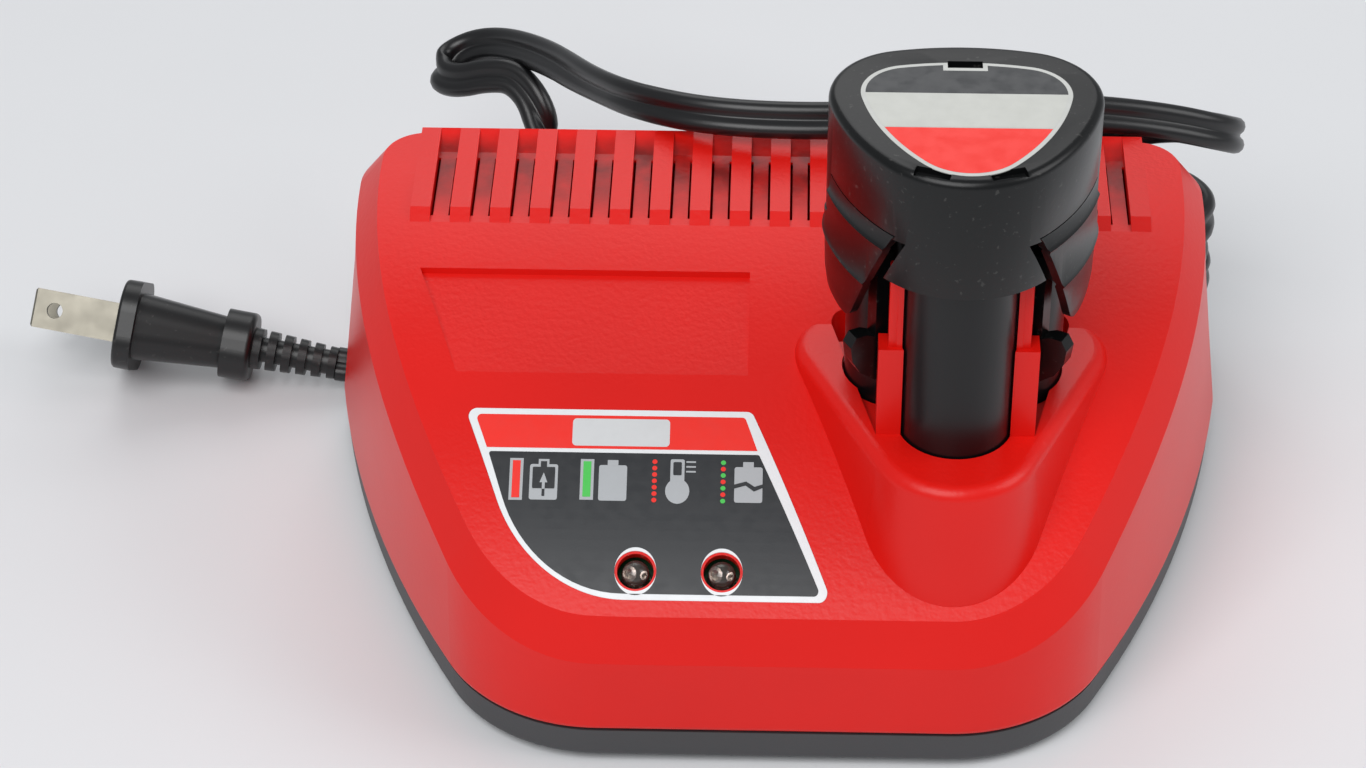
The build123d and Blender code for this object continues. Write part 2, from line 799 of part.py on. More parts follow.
def standing_can(x, y, radius, height):
    """Radial capacitor: a can on its rubber end, with a scored vent on top."""
    with BuildPart() as can:
        with BuildSketch(Plane.XY.offset(board_top_z)) as can_round:
            with Locations((x, y)):
                Circle(radius)
        extrude(can_round.sketch, amount=height)
        fillet(can.edges().group_by(Axis.Z)[-1], 0.8)
        with BuildSketch(Plane.XY.offset(board_top_z + 2.0)) as crimp:
            with Locations((x, y)):
                Circle(radius)
                Circle(radius - 0.4, mode=Mode.SUBTRACT)
        extrude(crimp.sketch, amount=1.0, mode=Mode.SUBTRACT)
        with BuildSketch(Plane.XY.offset(board_top_z + height)) as score:
            with Locations((x, y)):
                Rectangle(radius, 0.4)
                Rectangle(0.4, radius)
        extrude(score.sketch, amount=-0.3, mode=Mode.SUBTRACT)
    return can


input_capacitor = standing_can(-50.0, 5.0, 8.0, 25.0)
save(input_capacitor, "input_capacitor")

with BuildPart() as output_capacitors:
    for x in (14.0, 26.0):
        add(standing_can(x, -7.0, 5.0, 14.0).part)
save(output_capacitors, "output_capacitors")

with BuildPart() as filter_choke:
    with BuildSketch(Plane.XY.offset(board_top_z)) as choke:
        with Locations((-50.0, 27.0)):
            Circle(8.0)
            Circle(3.6, mode=Mode.SUBTRACT)
    extrude(choke.sketch, amount=9.0)
    fillet(filter_choke.edges().filter_by(GeomType.CIRCLE), 2.0)
save(filter_choke, "filter_choke")

with BuildPart() as fuse:
    with BuildSketch(Plane.YZ.offset(fuse_x)) as fuse_end:
        with Locations((fuse_y, board_top_z + fuse_radius)):
            Circle(fuse_radius)
    extrude(fuse_end.sketch, amount=fuse_length)
    with BuildSketch(Plane.YZ.offset(fuse_x + fuse_cap_length)) as fuse_waist:
        with Locations((fuse_y, board_top_z + fuse_radius)):
            Circle(fuse_radius)
            Circle(fuse_radius - 0.5, mode=Mode.SUBTRACT)
    extrude(fuse_waist.sketch, amount=fuse_length - 2 * fuse_cap_length, mode=Mode.SUBTRACT)
save(fuse, "fuse")

with BuildPart() as heat_sink:
    with BuildSketch(Plane.XY.offset(board_top_z)) as sink:
        with Locations((sink_x, sink_y)):
            Rectangle(26.0, 2.4)
        with Locations((sink_x, sink_y + 4.2)):
            with GridLocations(fin_pitch, 1, 7, 1):
                Rectangle(1.2, 6.0)
    extrude(sink.sketch, amount=24.0)
save(heat_sink, "heat_sink")

transistor_y = sink_y - 1.2
with BuildPart() as power_transistor:
    with BuildSketch(Plane.XZ.offset(-transistor_y)) as case_face:
        with Locations((sink_x, board_top_z + 12.0)):
            Rectangle(10.0, 9.0)
    extrude(case_face.sketch, amount=4.4)
    with BuildSketch(Plane.XY.offset(board_top_z)) as legs:
        with Locations((sink_x, transistor_y - 2.4)):
            with GridLocations(2.54, 1, 3, 1):
                Rectangle(0.9, 0.6)
    extrude(legs.sketch, amount=8.0)
save(power_transistor, "power_transistor")

with BuildPart() as rectifier:
    with BuildSketch(Plane.XY.offset(board_top_z)) as bridge:
        with Locations((rectifier_x, rectifier_y)):
            Rectangle(14.0, 4.0)
    extrude(bridge.sketch, amount=12.0)
    chamfer(rectifier.edges().filter_by(Axis.Y).group_by(Axis.Z)[-1].sort_by(Axis.X)[-1], 2.0)
save(rectifier, "rectifier")

with BuildPart() as microcontroller:
    with BuildSketch(Plane.XY.offset(board_top_z)) as chip:
        with Locations((38.0, 12.0)):
            Rectangle(13.0, 7.6)
    extrude(chip.sketch, amount=2.4)
    with BuildSketch(Plane.XY.offset(board_top_z)) as chip_legs:
        with Locations((38.0, 12.0)):
            with GridLocations(1.27, 9.4, 10, 2):
                Rectangle(0.5, 2.2)
    extrude(chip_legs.sketch, amount=1.0)
save(microcontroller, "microcontroller")

# ---------------------------------------------------------------- contacts
with BuildPart() as contact_block:
    with BuildSketch(Plane.XY.offset(well_bottom_z)) as block_flange:
        with Locations((battery_x, battery_y)):
            RectangleRounded(window_length + 6, window_width + 6, 2.0)
    extrude(block_flange.sketch, amount=-2.4)
    with BuildSketch(Plane.XY.offset(well_bottom_z)) as block_core:
        with Locations((battery_x, battery_y)):
            Rectangle(window_length - 2 * seat_gap, window_width - 2 * seat_gap)
    extrude(block_core.sketch, amount=socket_wall)
    with BuildSketch(Plane.XY.offset(socket_floor_z)) as block_slots:
        with Locations((battery_x, battery_y)):
            with GridLocations(contact_pitch, 1, 3, 1):
                Rectangle(contact_thickness + 2 * seat_gap, contact_width + 2 * seat_gap)
    extrude(block_slots.sketch, amount=-20, mode=Mode.SUBTRACT)
save(contact_block, "contact_block")

# Blades rise from the board through the block into the pack.
with BuildPart() as charge_contacts:
    with BuildSketch(Plane.XY.offset(board_top_z)) as blades:
        with Locations((battery_x, battery_y)):
            with GridLocations(contact_pitch, 1, 3, 1):
                Rectangle(contact_thickness, contact_width)
    extrude(blades.sketch, amount=socket_floor_z + contact_height - board_top_z)
    chamfer(charge_contacts.faces().group_by(Axis.Z)[-1].edges().filter_by(Axis.Y), 0.25)
save(charge_contacts, "charge_contacts")

# ---------------------------------------------------------------- battery pack
with BuildPart() as stem_shell:
    stem_top_z = cap_bottom_z + deck_rise + deck_thickness
    extrude(lobes(stem_bottom_z, lobe_radius), amount=stem_top_z - stem_bottom_z)
    with BuildSketch(Plane.XY.offset(stem_bottom_z + stem_floor)) as stem_bore:
        with Locations((battery_x, battery_y)):
            with PolarLocations(lobe_pitch_radius, 3, start_angle=-90):
                Circle(lobe_radius - stem_wall)
        add(pack_section(stem_bottom_z + stem_floor, crease_reach))
    extrude(stem_bore.sketch, amount=stem_top_z, mode=Mode.SUBTRACT)
    with BuildSketch(Plane.XY.offset(stem_bottom_z)) as stem_slots:
        with Locations((battery_x, battery_y)):
            with GridLocations(contact_pitch, 1, 3, 1):
                Rectangle(contact_thickness + 2 * fit_gap, contact_width + 2 * fit_gap)
    extrude(stem_slots.sketch, amount=stem_floor, mode=Mode.SUBTRACT)
save(stem_shell, "stem_shell")

# Spring clips over the slots, each a pair of leaves that grips a blade.
with BuildPart() as battery_terminals:
    clip_height = cell_lift - stem_floor - strap_thickness
    with BuildSketch(Plane.XY.offset(stem_bottom_z + stem_floor)) as clips:
        with Locations((battery_x, battery_y)):
            with GridLocations(contact_pitch, 1, 3, 1):
                Rectangle(3.4, 6.0)
                Rectangle(1.6, 6.0, mode=Mode.SUBTRACT)
    extrude(clips.sketch, amount=clip_height - 0.6)
    with BuildSketch(Plane.XY.offset(stem_bottom_z + stem_floor + clip_height - 0.6)) as clip_roofs:
        with Locations((battery_x, battery_y)):
            with GridLocations(contact_pitch, 1, 3, 1):
                Rectangle(3.4, 6.0)
    extrude(clip_roofs.sketch, amount=0.6)
save(battery_terminals, "battery_terminals")


def cell(turn):
    """Round cell with a rolled shoulder and a raised cap; turn is its place in degrees."""
    x = battery_x + lobe_pitch_radius * math.cos(math.radians(turn))
    y = battery_y + lobe_pitch_radius * math.sin(math.radians(turn))
    with BuildPart() as can:
        with BuildSketch(Plane.XY.offset(cell_bottom_z)) as can_round:
            with Locations((x, y)):
                Circle(cell_radius)
        extrude(can_round.sketch, amount=cell_height - 1.0)
        fillet(can.edges().filter_by(GeomType.CIRCLE), 0.7)
        with BuildSketch(Plane.XY.offset(cell_top_z - 1.0)) as pip:
            with Locations((x, y)):
                Circle(cell_radius * 0.55)
        extrude(pip.sketch, amount=1.0)
    return can


for cell_name, turn in (("front_cell", -90), ("right_cell", 30), ("left_cell", 150)):
    save(cell(turn), cell_name)

with BuildPart() as cell_straps:
    rear_cells_y = battery_y + lobe_pitch_radius / 2
    with BuildSketch(Plane.XY.offset(cell_top_z)) as top_strap:
        with Locations((battery_x, rear_cells_y)):
            Rectangle(lobe_side + 6, 7.0)
    extrude(top_strap.sketch, amount=strap_thickness)
    with BuildSketch(Plane.XY.offset(cell_bottom_z)) as bottom_strap:
        with Locations((battery_x, battery_y)):
            Rectangle(3.4 + 2 * contact_pitch, 6.0)
        with Locations((battery_x, (battery_y + front_lobe_y) / 2)):
            Rectangle(7.0, lobe_pitch_radius + 4)
    extrude(bottom_strap.sketch, amount=-strap_thickness)
save(cell_straps, "cell_straps")

pack_board_z = cell_top_z + strap_thickness
with BuildPart() as protection_board:
    extrude(pack_section(pack_board_z, lobe_radius - 1.4), amount=board_thickness)
    with BuildSketch(Plane.XY.offset(pack_board_z + board_thickness)) as chips:
        with Locations((battery_x - 5, battery_y), (battery_x + 6, battery_y + 4)):
            Rectangle(6.0, 4.0)
    extrude(chips.sketch, amount=1.2)
save(protection_board, "protection_board")

# Frame of the right flank: u runs rearwards along it, v points out of it.
shoulder_y = battery_y + lobe_pitch_radius / 2
flank_turn = 30.0
rearwards = Vector(math.sin(math.radians(flank_turn)), math.cos(math.radians(flank_turn)), 0)
outwards = Vector(math.cos(math.radians(flank_turn)), -math.sin(math.radians(flank_turn)), 0)
flank_plane = Plane(origin=(battery_x, front_lobe_y, 0), x_dir=rearwards, z_dir=outwards)
mirror_plane = Plane.YZ.offset(battery_x)

latch_rear_u = lobe_side + latch_overhang
pin_span = latch_top_rear_u - latch_top_front_u


def latch_window(growth):
    """Side view of the right latch's grip: narrow at its hinge, wide at its lower tip."""
    with BuildSketch(flank_plane.offset(leg_inner)) as window:
        with BuildLine():
            Polyline(
                (latch_top_front_u, latch_top_z),
                (latch_top_rear_u, latch_top_z),
                (latch_top_rear_u + 1.5, cap_bottom_z + 1),
                (latch_rear_u, cap_bottom_z - 4),
                (latch_rear_u, latch_tip_z - 1),
                (latch_front_tip_u + 3, latch_tip_z),
                (latch_front_tip_u, latch_tip_z + 2),
                (latch_top_front_u, latch_top_z - 4),
                close=True,
            )
        make_face()
        if growth:
            offset(amount=growth, kind=Kind.INTERSECTION)
    return window.sketch


def pivot_round(radius):
    """Section of the right latch's hinge pin, across the flank."""
    start = flank_plane.origin + rearwards * latch_top_front_u + outwards * (cap_reach - cap_wall / 2)
    with BuildSketch(Plane(start + Vector(0, 0, latch_hinge_z), x_dir=(0, 0, 1), z_dir=rearwards)) as pin:
        Circle(radius)
    return pin.sketch


# Room for both latches and the bores for their pins.
with BuildPart() as latch_room:
    extrude(latch_window(slit_width), amount=cap_reach - leg_inner + 2)
    hinge_bore = pivot_round(pivot_radius + seat_gap)
    extrude(hinge_bore, amount=pin_span + pivot_length + slit_width)
    extrude(hinge_bore, amount=-pivot_length - slit_width)
    mirror(about=mirror_plane)

with BuildPart() as battery_cap:
    extrude(pack_section(cap_bottom_z, cap_reach), amount=cap_top_z - cap_bottom_z)
    with BuildSketch(Plane.XY.offset(cap_bottom_z)) as cap_depth:
        with Locations((battery_x, cap_rear_y - 30)):
            Rectangle(60, 60)
    extrude(cap_depth.sketch, amount=cap_top_z - cap_bottom_z, mode=Mode.INTERSECT)
    fillet(battery_cap.edges().filter_by(Axis.Z), cap_corner_radius)
    fillet(battery_cap.faces().sort_by(Axis.Z)[-1].edges(), cap_edge_radius)
    with BuildSketch(Plane.XY.offset(cap_bottom_z)) as cap_hollow:
        add(pack_section(cap_bottom_z, cap_reach - cap_wall))
        with Locations((battery_x, cap_rear_y - cap_wall - 30)):
            Rectangle(60, 60, mode=Mode.INTERSECT)
    extrude(cap_hollow.sketch, amount=cap_top_z - cap_wall - cap_bottom_z, mode=Mode.SUBTRACT)
    with BuildSketch(Plane.XY.offset(cap_bottom_z + deck_rise)) as deck_plate:
        add(cap_hollow.sketch)
        add(pack_section(cap_bottom_z, lobe_radius + seat_gap), mode=Mode.SUBTRACT)
    extrude(deck_plate.sketch, amount=deck_thickness)
    with BuildSketch(Plane.XY.offset(cap_top_z - pack_label_thickness)) as label_bed:
        add(pack_section(cap_top_z, pack_label_reach).moved(Location((0, pack_label_shift_y, 0))))
        offset(amount=seat_gap)
    extrude(label_bed.sketch, amount=pack_label_thickness, mode=Mode.SUBTRACT)
    add(latch_room.part, mode=Mode.SUBTRACT)
save(battery_cap, "battery_cap")

with BuildPart() as battery_label:
    pack_label = pack_section(cap_top_z - pack_label_thickness, pack_label_reach)
    extrude(pack_label.moved(Location((0, pack_label_shift_y, 0))), amount=pack_label_thickness)
save(battery_label, "battery_label")


# Latch: a grip of the cap's own skin on a pivot, with a leg and an outward hook.
with BuildPart() as right_release_latch:
    skin_height = latch_top_z - latch_tip_z + 1
    extrude(pack_section(latch_tip_z - 1, cap_reach), amount=skin_height)
    extrude(pack_section(latch_tip_z - 1, cap_reach - cap_wall), amount=skin_height, mode=Mode.SUBTRACT)
    extrude(latch_window(0), amount=cap_reach - leg_inner + 2, mode=Mode.INTERSECT)
    leg_top_z = cap_bottom_z - 2
    with BuildSketch(flank_plane.offset(leg_inner)) as leg:
        with Locations((leg_front_u + leg_width / 2, (latch_toe_z + leg_top_z) / 2)):
            Rectangle(leg_width, leg_top_z - latch_toe_z)
    extrude(leg.sketch, amount=leg_thickness)
    hook_start = flank_plane.origin + rearwards * leg_front_u
    with BuildSketch(Plane(hook_start, x_dir=outwards, z_dir=-rearwards)) as hook:
        with BuildLine():
            Polyline(
                (leg_inner, latch_toe_z),
                (leg_inner + leg_thickness, latch_toe_z),
                (hook_reach, hook_top_z - 5),
                (hook_reach + 0.4, hook_top_z - 1),
                (leg_inner + leg_thickness, hook_top_z),
                (leg_inner, hook_top_z),
                close=True,
            )
        make_face()
    extrude(hook.sketch, amount=-leg_width)
    extrude(pivot_round(pivot_radius), amount=pin_span + pivot_length)
    extrude(pivot_round(pivot_radius), amount=-pivot_length)
save(right_release_latch, "right_release_latch")

with BuildPart() as left_release_latch:
    mirror(right_release_latch.part, about=mirror_plane)
save(left_release_latch, "left_release_latch")

# ---------------------------------------------------------------- cord
with BuildPart() as cord_bushing:
    with BuildSketch(Plane.YZ.offset(inlet_x)) as bushing_half:
        with BuildLine():
            inner_face = rear_y - 2 * wall
            outer_face = rear_y + 2.5
            tip_y = rear_y + bushing_reach
            Polyline(
                (inner_face - 2, inlet_z),
                (inner_face - 2, inlet_z + bushing_radius),
                (outer_face, inlet_z + bushing_radius),
                (tip_y, inlet_z + cord_diameter / 2 + 0.9),
                (tip_y, inlet_z),
                close=True,
            )
        make_face()
    revolve(bushing_half.sketch, axis=Axis((inlet_x, 0, inlet_z), (0, 1, 0)))
    for i in range(5):
        rib_y = outer_face + 3.2 + i * 3.4
        with BuildSketch(Plane.XZ.offset(-rib_y)) as rib_gap:
            with Locations((inlet_x, inlet_z)):
                Circle(bushing_radius + 1)
                Circle(cord_diameter / 2 + 0.5, mode=Mode.SUBTRACT)
        extrude(rib_gap.sketch, amount=-1.4, mode=Mode.SUBTRACT)
    with BuildSketch(Plane.XZ.offset(-rear_y - 0.3)) as bushing_collar:
        with Locations((inlet_x, inlet_z)):
            Circle(bushing_radius + 1.6)
    extrude(bushing_collar.sketch, amount=-2.0)
save(cord_bushing, "cord_bushing")

with BuildPart() as cord_hank:
    with BuildSketch(Plane.XY.offset(hank_bottom_z)) as hank_plan:
        with Locations((hank_centre_x, hank_front_y + hank_width / 2)):
            SlotOverall(hank_length, hank_width)
    extrude(hank_plan.sketch, amount=hank_height)
    fillet(cord_hank.edges().group_by(Axis.Z)[-1], cord_diameter / 2)
    fillet(cord_hank.edges().group_by(Axis.Z)[0], cord_diameter / 2)
save(cord_hank, "cord_hank")

with BuildPart() as hank_tie:
    with BuildSketch(Plane.YZ.offset(hank_centre_x - tie_width / 2)) as tie_loop:
        with Locations((hank_front_y + hank_width / 2, hank_bottom_z + hank_height / 2)):
            Rectangle(hank_width + 2 * tie_thickness + 0.2, hank_height + 2 * tie_thickness + 0.2)
            Rectangle(hank_width + 0.2, hank_height + 0.2, mode=Mode.SUBTRACT)
    extrude(tie_loop.sketch, amount=tie_width)
save(hank_tie, "hank_tie")


def smooth_route(points):
    """Straight runs joined by arcs as large as the shorter run at each corner allows."""
    vectors = [Vector(*p) for p in points]
    radii = []
    for before, corner, after in zip(vectors, vectors[1:], vectors[2:]):
        arriving = corner - before
        leaving = after - corner
        turn = math.radians(arriving.get_angle(leaving))
        radii.append(0.45 * min(arriving.length, leaving.length) / math.tan(turn / 2))
    print("bend radii", [round(r, 1) for r in radii])
    with BuildLine() as route:
        FilletPolyline(*points, radius=radii)
    return route.wires()[0]


def cord_tube(points):
    """Round cord swept along its route."""
    route = smooth_route(points)
    with BuildPart() as tube:
        with BuildSketch(Plane(route @ 0, z_dir=route % 0)) as cord_round:
            Circle(cord_diameter / 2)
        sweep(cord_round.sketch, path=route)
    expected = math.pi * cord_diameter**2 / 4 * route.length
    print("cord length", round(route.length, 1), "volume ratio", round(tube.part.volume / expected, 4))
    return tube


lead_points = [
    (inlet_x, rear_y + bushing_reach, inlet_z),
    (inlet_x, 89.0, inlet_z),
    (-21.0, 99.0, 13.0),
    (-11.5, 105.5, 9.4),
    (1.0, 107.5, 7.2),
    (11.5, 103.0, 6.6),
    (16.5, 94.5, 6.6),
    (16.5, hank_front_y + hank_width, 6.6),
]
cord_lead = cord_tube(lead_points)
save(cord_lead, "cord_lead")

# Plug lying on the ground, rolled on to an edge of its flange.
plug_run = Vector(plug_run_x, plug_run_y, plug_run_z).normalized()
roll = math.radians(plug_roll)
level_side = plug_run.cross(Vector(0, 0, 1)).normalized()
blade_side = level_side * math.cos(roll) + level_side.cross(plug_run) * math.sin(roll)
plug_plane = Plane(origin=(plug_x, plug_y, plug_z), x_dir=blade_side, z_dir=plug_run)

relief_start = plug_body_length + collar_length
relief_end = relief_start + relief_length
relief_tip = plug_plane.origin + plug_run * relief_end

cord_points = [
    tuple(relief_tip),
    tuple(relief_tip + plug_run * 5.0),
    (-79.3, 59.2, 3.3),
    (-71.5, 64.4, 2.8),
    (-61.5, 69.3, 4.4),
    (-53.5, 75.0, 11.0),
    (-48.4, 80.5, 22.0),
    (-47.5, 84.0, 38.0),
    (-49.5, 90.0, 49.0),
    (-56.5, 97.0, 51.0),
    (-65.0, 100.5, 47.8),
    (-72.2, 103.5, 45.9),
    (-76.2, 109.0, 46.4),
    (-72.8, 114.4, 48.6),
    (-64.0, 112.8, 51.0),
    (-50.5, 99.0, 57.0),
    (-39.5, 80.0, 63.0),
    (-28.0, 62.5, 69.5),
    (-13.0, 53.5, 71.5),
    (8.0, 52.8, 71.2),
    (32.0, 55.0, 71.8),
    (55.0, 58.5, 71.0),
    (75.0, 61.5, 66.5),
    (89.5, 64.5, 61.0),
    (93.2, 73.0, 54.0),
    (88.0, 80.5, 50.0),
    (79.0, 82.0, 49.2),
    (71.0, 80.5, 47.6),
    (66.0, 78.0, 43.9),
]
power_cord = cord_tube(cord_points)
save(power_cord, "power_cord")

# ---------------------------------------------------------------- mains plug
with BuildPart() as plug_body:
    with BuildSketch(plug_plane) as flange_face:
        RectangleRounded(flange_long, flange_short, 6.5)
    extrude(flange_face.sketch, amount=flange_thickness)
    fillet(plug_body.edges().group_by(Axis(plug_plane.origin, plug_run))[0], 0.8)
    with BuildSketch(plug_plane.offset(flange_thickness)) as body_start:
        RectangleRounded(flange_long - 5, flange_short - 4.5, 5.5)
    with BuildSketch(plug_plane.offset(plug_body_length)) as body_end:
        RectangleRounded(13.0, 10.5, 4.6)
    loft(sections=[body_start.sketch, body_end.sketch])
    with BuildSketch(plug_plane.offset(plug_body_length)) as collar:
        RectangleRounded(16.0, 14.0, 6.0)
    extrude(collar.sketch, amount=collar_length)
    fillet(plug_body.edges().group_by(Axis(plug_plane.origin, plug_run))[-1], 1.2)
save(plug_body, "plug_body")

with BuildPart() as plug_blades:
    for offset_x, width in ((-blade_spacing / 2, blade_width), (blade_spacing / 2, wide_blade_width)):
        with BuildSketch(plug_plane) as blade:
            with Locations((offset_x, 0)):
                Rectangle(blade_thickness, width)
        extrude(blade.sketch, amount=-blade_length)
    chamfer(plug_blades.faces().group_by(Axis(plug_plane.origin, plug_run))[0].edges(), 0.4)
    hole_origin = plug_plane.origin - plug_run * (blade_length - 4.4) - blade_side * blade_spacing
    with BuildSketch(Plane(hole_origin, x_dir=plug_run, z_dir=blade_side)) as blade_hole:
        Circle(blade_hole_radius)
    extrude(blade_hole.sketch, amount=2 * blade_spacing, mode=Mode.SUBTRACT)
save(plug_blades, "plug_blades")

with BuildPart() as plug_strain_relief:
    with BuildSketch(plug_plane.offset(relief_start)) as relief_root:
        RectangleRounded(11.4, 8.4, 3.6)
    with BuildSketch(plug_plane.offset(relief_end)) as relief_end_face:
        RectangleRounded(7.4, 6.4, 3.0)
    loft(sections=[relief_root.sketch, relief_end_face.sketch])
    for i in range(5):
        with BuildSketch(plug_plane.offset(relief_start + 1.6 + i * 3.1)) as relief_gap:
            Rectangle(14, 12)
            RectangleRounded(6.0, 5.0, 2.4, mode=Mode.SUBTRACT)
        extrude(relief_gap.sketch, amount=1.4, mode=Mode.SUBTRACT)
save(plug_strain_relief, "plug_strain_relief")
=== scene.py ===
import logging
import math
from dataclasses import dataclass
from enum import Enum
from typing import Any, Sequence

import bmesh
import bpy
from mathutils import Matrix, Vector


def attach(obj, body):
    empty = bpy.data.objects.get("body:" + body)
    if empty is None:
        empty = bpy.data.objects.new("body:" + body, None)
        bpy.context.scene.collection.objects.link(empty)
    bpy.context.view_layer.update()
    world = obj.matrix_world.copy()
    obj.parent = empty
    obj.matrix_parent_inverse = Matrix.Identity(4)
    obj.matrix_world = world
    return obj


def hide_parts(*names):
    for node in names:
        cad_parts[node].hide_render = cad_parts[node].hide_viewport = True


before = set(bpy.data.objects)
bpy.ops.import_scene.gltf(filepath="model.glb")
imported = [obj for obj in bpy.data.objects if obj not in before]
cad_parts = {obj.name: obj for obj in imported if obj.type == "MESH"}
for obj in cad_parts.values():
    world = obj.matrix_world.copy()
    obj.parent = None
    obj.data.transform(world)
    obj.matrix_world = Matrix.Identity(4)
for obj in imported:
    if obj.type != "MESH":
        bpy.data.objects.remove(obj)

"""Looks of a bench charger with a stick battery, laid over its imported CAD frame.

Places and sizes are millimetres in the frame's axes unless a comment says metres.
"""

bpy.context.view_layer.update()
MM = 0.001
LOG = logging.getLogger("charger")

Point = tuple[float, float, float]
Flat = tuple[float, float]
Mesh = bmesh.types.BMesh
Object = bpy.types.Object
Material = bpy.types.Material
Tree = bpy.types.NodeTree
Socket = bpy.types.NodeSocket

STEM_MIDDLE: Flat = (31.3, -16.8)
LAMP_PLACES: tuple[Flat, Flat] = ((-24.4, -45.0), (-9.2, -45.0))
PLASTIC_IOR = 1.53
DUST_COLOUR = "#8a8884"
# Colour of the painted shade on the floors of the vent grooves.
VENT_SHADE_COLOUR = "#3a1412"


# --- node tools
def linear(colour: str) -> tuple[float, float, float, float]:
    """Turn an sRGB hex colour into linear RGBA.

    Args:
        colour: six hex digits after a hash.

    Returns:
        Linear red, green, blue and an alpha of 1.
    """
    parts = [int(colour[i : i + 2], 16) / 255 for i in (1, 3, 5)]
    bent = [p / 12.92 if p <= 0.04045 else ((p + 0.055) / 1.055) ** 2.4 for p in parts]
    return (bent[0], bent[1], bent[2], 1.0)


def scaled(colour: str, factor: float) -> tuple[float, float, float, float]:
    """Linear RGBA of a hex colour, made darker or paler by a factor and held at 1."""
    red, green, blue = (min(1.0, c * factor) for c in linear(colour)[:3])
    return (red, green, blue, 1.0)


def put(
    tree: Tree, kind: str, inputs: dict[Any, Any] | None = None, **settings: Any
) -> bpy.types.Node:
    """Add one node with its settings and inputs.

    Args:
        tree: the node tree that gets it.
        kind: Blender's name for the node type.
        inputs: input name or index to a constant, or to the output socket that feeds it.
        settings: properties of the node itself.

    Returns:
        The new node.
    """
    node = tree.nodes.new(kind)
    for name, value in settings.items():
        setattr(node, name, value)
    for name, value in (inputs or {}).items():
        if isinstance(value, Socket):
            tree.links.new(value, node.inputs[name])
        else:
            node.inputs[name].default_value = value
    return node


def calc(tree: Tree, operation: str, *operands: Any) -> Socket:
    """Output of a maths node over constants or sockets."""
    return put(tree, "ShaderNodeMath", dict(enumerate(operands)), operation=operation).outputs[0]


def ramp(
    tree: Tree, value: Socket, start: float, end: float, low: float = 0.0, high: float = 1.0
) -> Socket:
    """Output that runs from low to high as value runs from start to end, and holds beyond."""
    inputs = {"Value": value, "From Min": start, "From Max": end, "To Min": low, "To Max": high}
    return put(tree, "ShaderNodeMapRange", inputs).outputs[0]


def noise(tree: Tree, place: Socket, scale: float, detail: float, roughness: float = 0.5) -> Socket:
    """Output of a cloudy noise, scale in clouds to the metre."""
    inputs = {"Vector": place, "Scale": scale, "Detail": detail, "Roughness": roughness}
    return put(tree, "ShaderNodeTexNoise", inputs).outputs["Fac"]


def blend(tree: Tree, share: Socket, first: Any, second: Any) -> Socket:
    """Output that goes from the first colour to the second as share goes from 0 to 1."""
    inputs = {0: share, 6: first, 7: second}
    return put(tree, "ShaderNodeMix", inputs, data_type="RGBA").outputs[2]


def bump(tree: Tree, height: Socket, depth: float, strength: float = 1.0) -> Socket:
    """Normal output of a relief that is depth millimetres deep."""
    inputs = {"Height": height, "Distance": depth * MM, "Strength": strength}
    return put(tree, "ShaderNodeBump", inputs).outputs["Normal"]


def facing_up(tree: Tree) -> Socket:
    """Output that says how far the surface faces upwards, 1 for level."""
    facing = put(tree, "ShaderNodeNewGeometry").outputs["Normal"]
    return put(tree, "ShaderNodeSeparateXYZ", {"Vector": facing}).outputs["Z"]


# --- shape tools
def smooth(obj: Object, angle: float) -> None:
    """Shade a finished piece smooth, with edges sharper than angle degrees kept crisp."""
    for polygon in obj.data.polygons:
        polygon.use_smooth = True
    obj.data.set_sharp_from_angle(angle=math.radians(angle))
    LOG.info("made %s", obj.name)


def link(name: str, data: Any) -> Object:
    """Put a new object with this data into the scene, at the origin."""
    obj = bpy.data.objects.new(name, data)
    bpy.context.scene.collection.objects.link(obj)
    return obj


def mesh_piece(name: str, mesh: Mesh, material: Material) -> Object:
    """Turn a bmesh into a named object with one material.

    Args:
        name: name of the new piece.
        mesh: its geometry in metres; it is freed.
        material: its finish.

    Returns:
        The new object, at the origin.
    """
    data = bpy.data.meshes.new(name)
    mesh.to_mesh(data)
    mesh.free()
    obj = link(name, data)
    data.materials.append(material)
    return obj


def loft(rings: Sequence[Sequence[Sequence[float]]], mesh: Mesh | None = None) -> Mesh:
    """Make a closed body through rings of equal count, capped at both ends.

    Args:
        rings: the rings' points in millimetres.
        mesh: geometry that gets the body too, if there is any.

    Returns:
        The geometry in metres.
    """
    if mesh is None:
        mesh = bmesh.new()
    made = [[mesh.verts.new(Vector(point) * MM) for point in ring] for ring in rings]
    for lower, upper in zip(made, made[1:]):
        for k in range(len(lower)):
            mesh.faces.new((lower[k - 1], lower[k], upper[k], upper[k - 1]))
    mesh.faces.new(made[0])
    mesh.faces.new(made[-1])
    bmesh.ops.recalc_face_normals(mesh, faces=list(mesh.faces))
    return mesh


def prism(outline: Sequence[Sequence[float]], low: float, high: float) -> Mesh:
    """Upright closed body over a flat outline, between two heights."""
    return loft([[(x, y, z) for x, y in outline] for z in (low, high)])


def evaluated(obj: Object, every_layer: bool = False) -> bpy.types.Mesh:
    """Mesh of an object with its modifiers applied."""
    graph = bpy.context.evaluated_depsgraph_get()
    return bpy.data.meshes.new_from_object(
        obj.evaluated_get(graph), preserve_all_data_layers=every_layer, depsgraph=graph
    )


def shape_by(obj: Object, kind: str, **settings: Any) -> None:
    """Run one modifier on a piece and keep its result."""
    modifier = obj.modifiers.new("shaping", kind)
    for name, value in settings.items():
        setattr(modifier, name, value)
    data = evaluated(obj)
    obj.modifiers.remove(modifier)
    obj.data = data


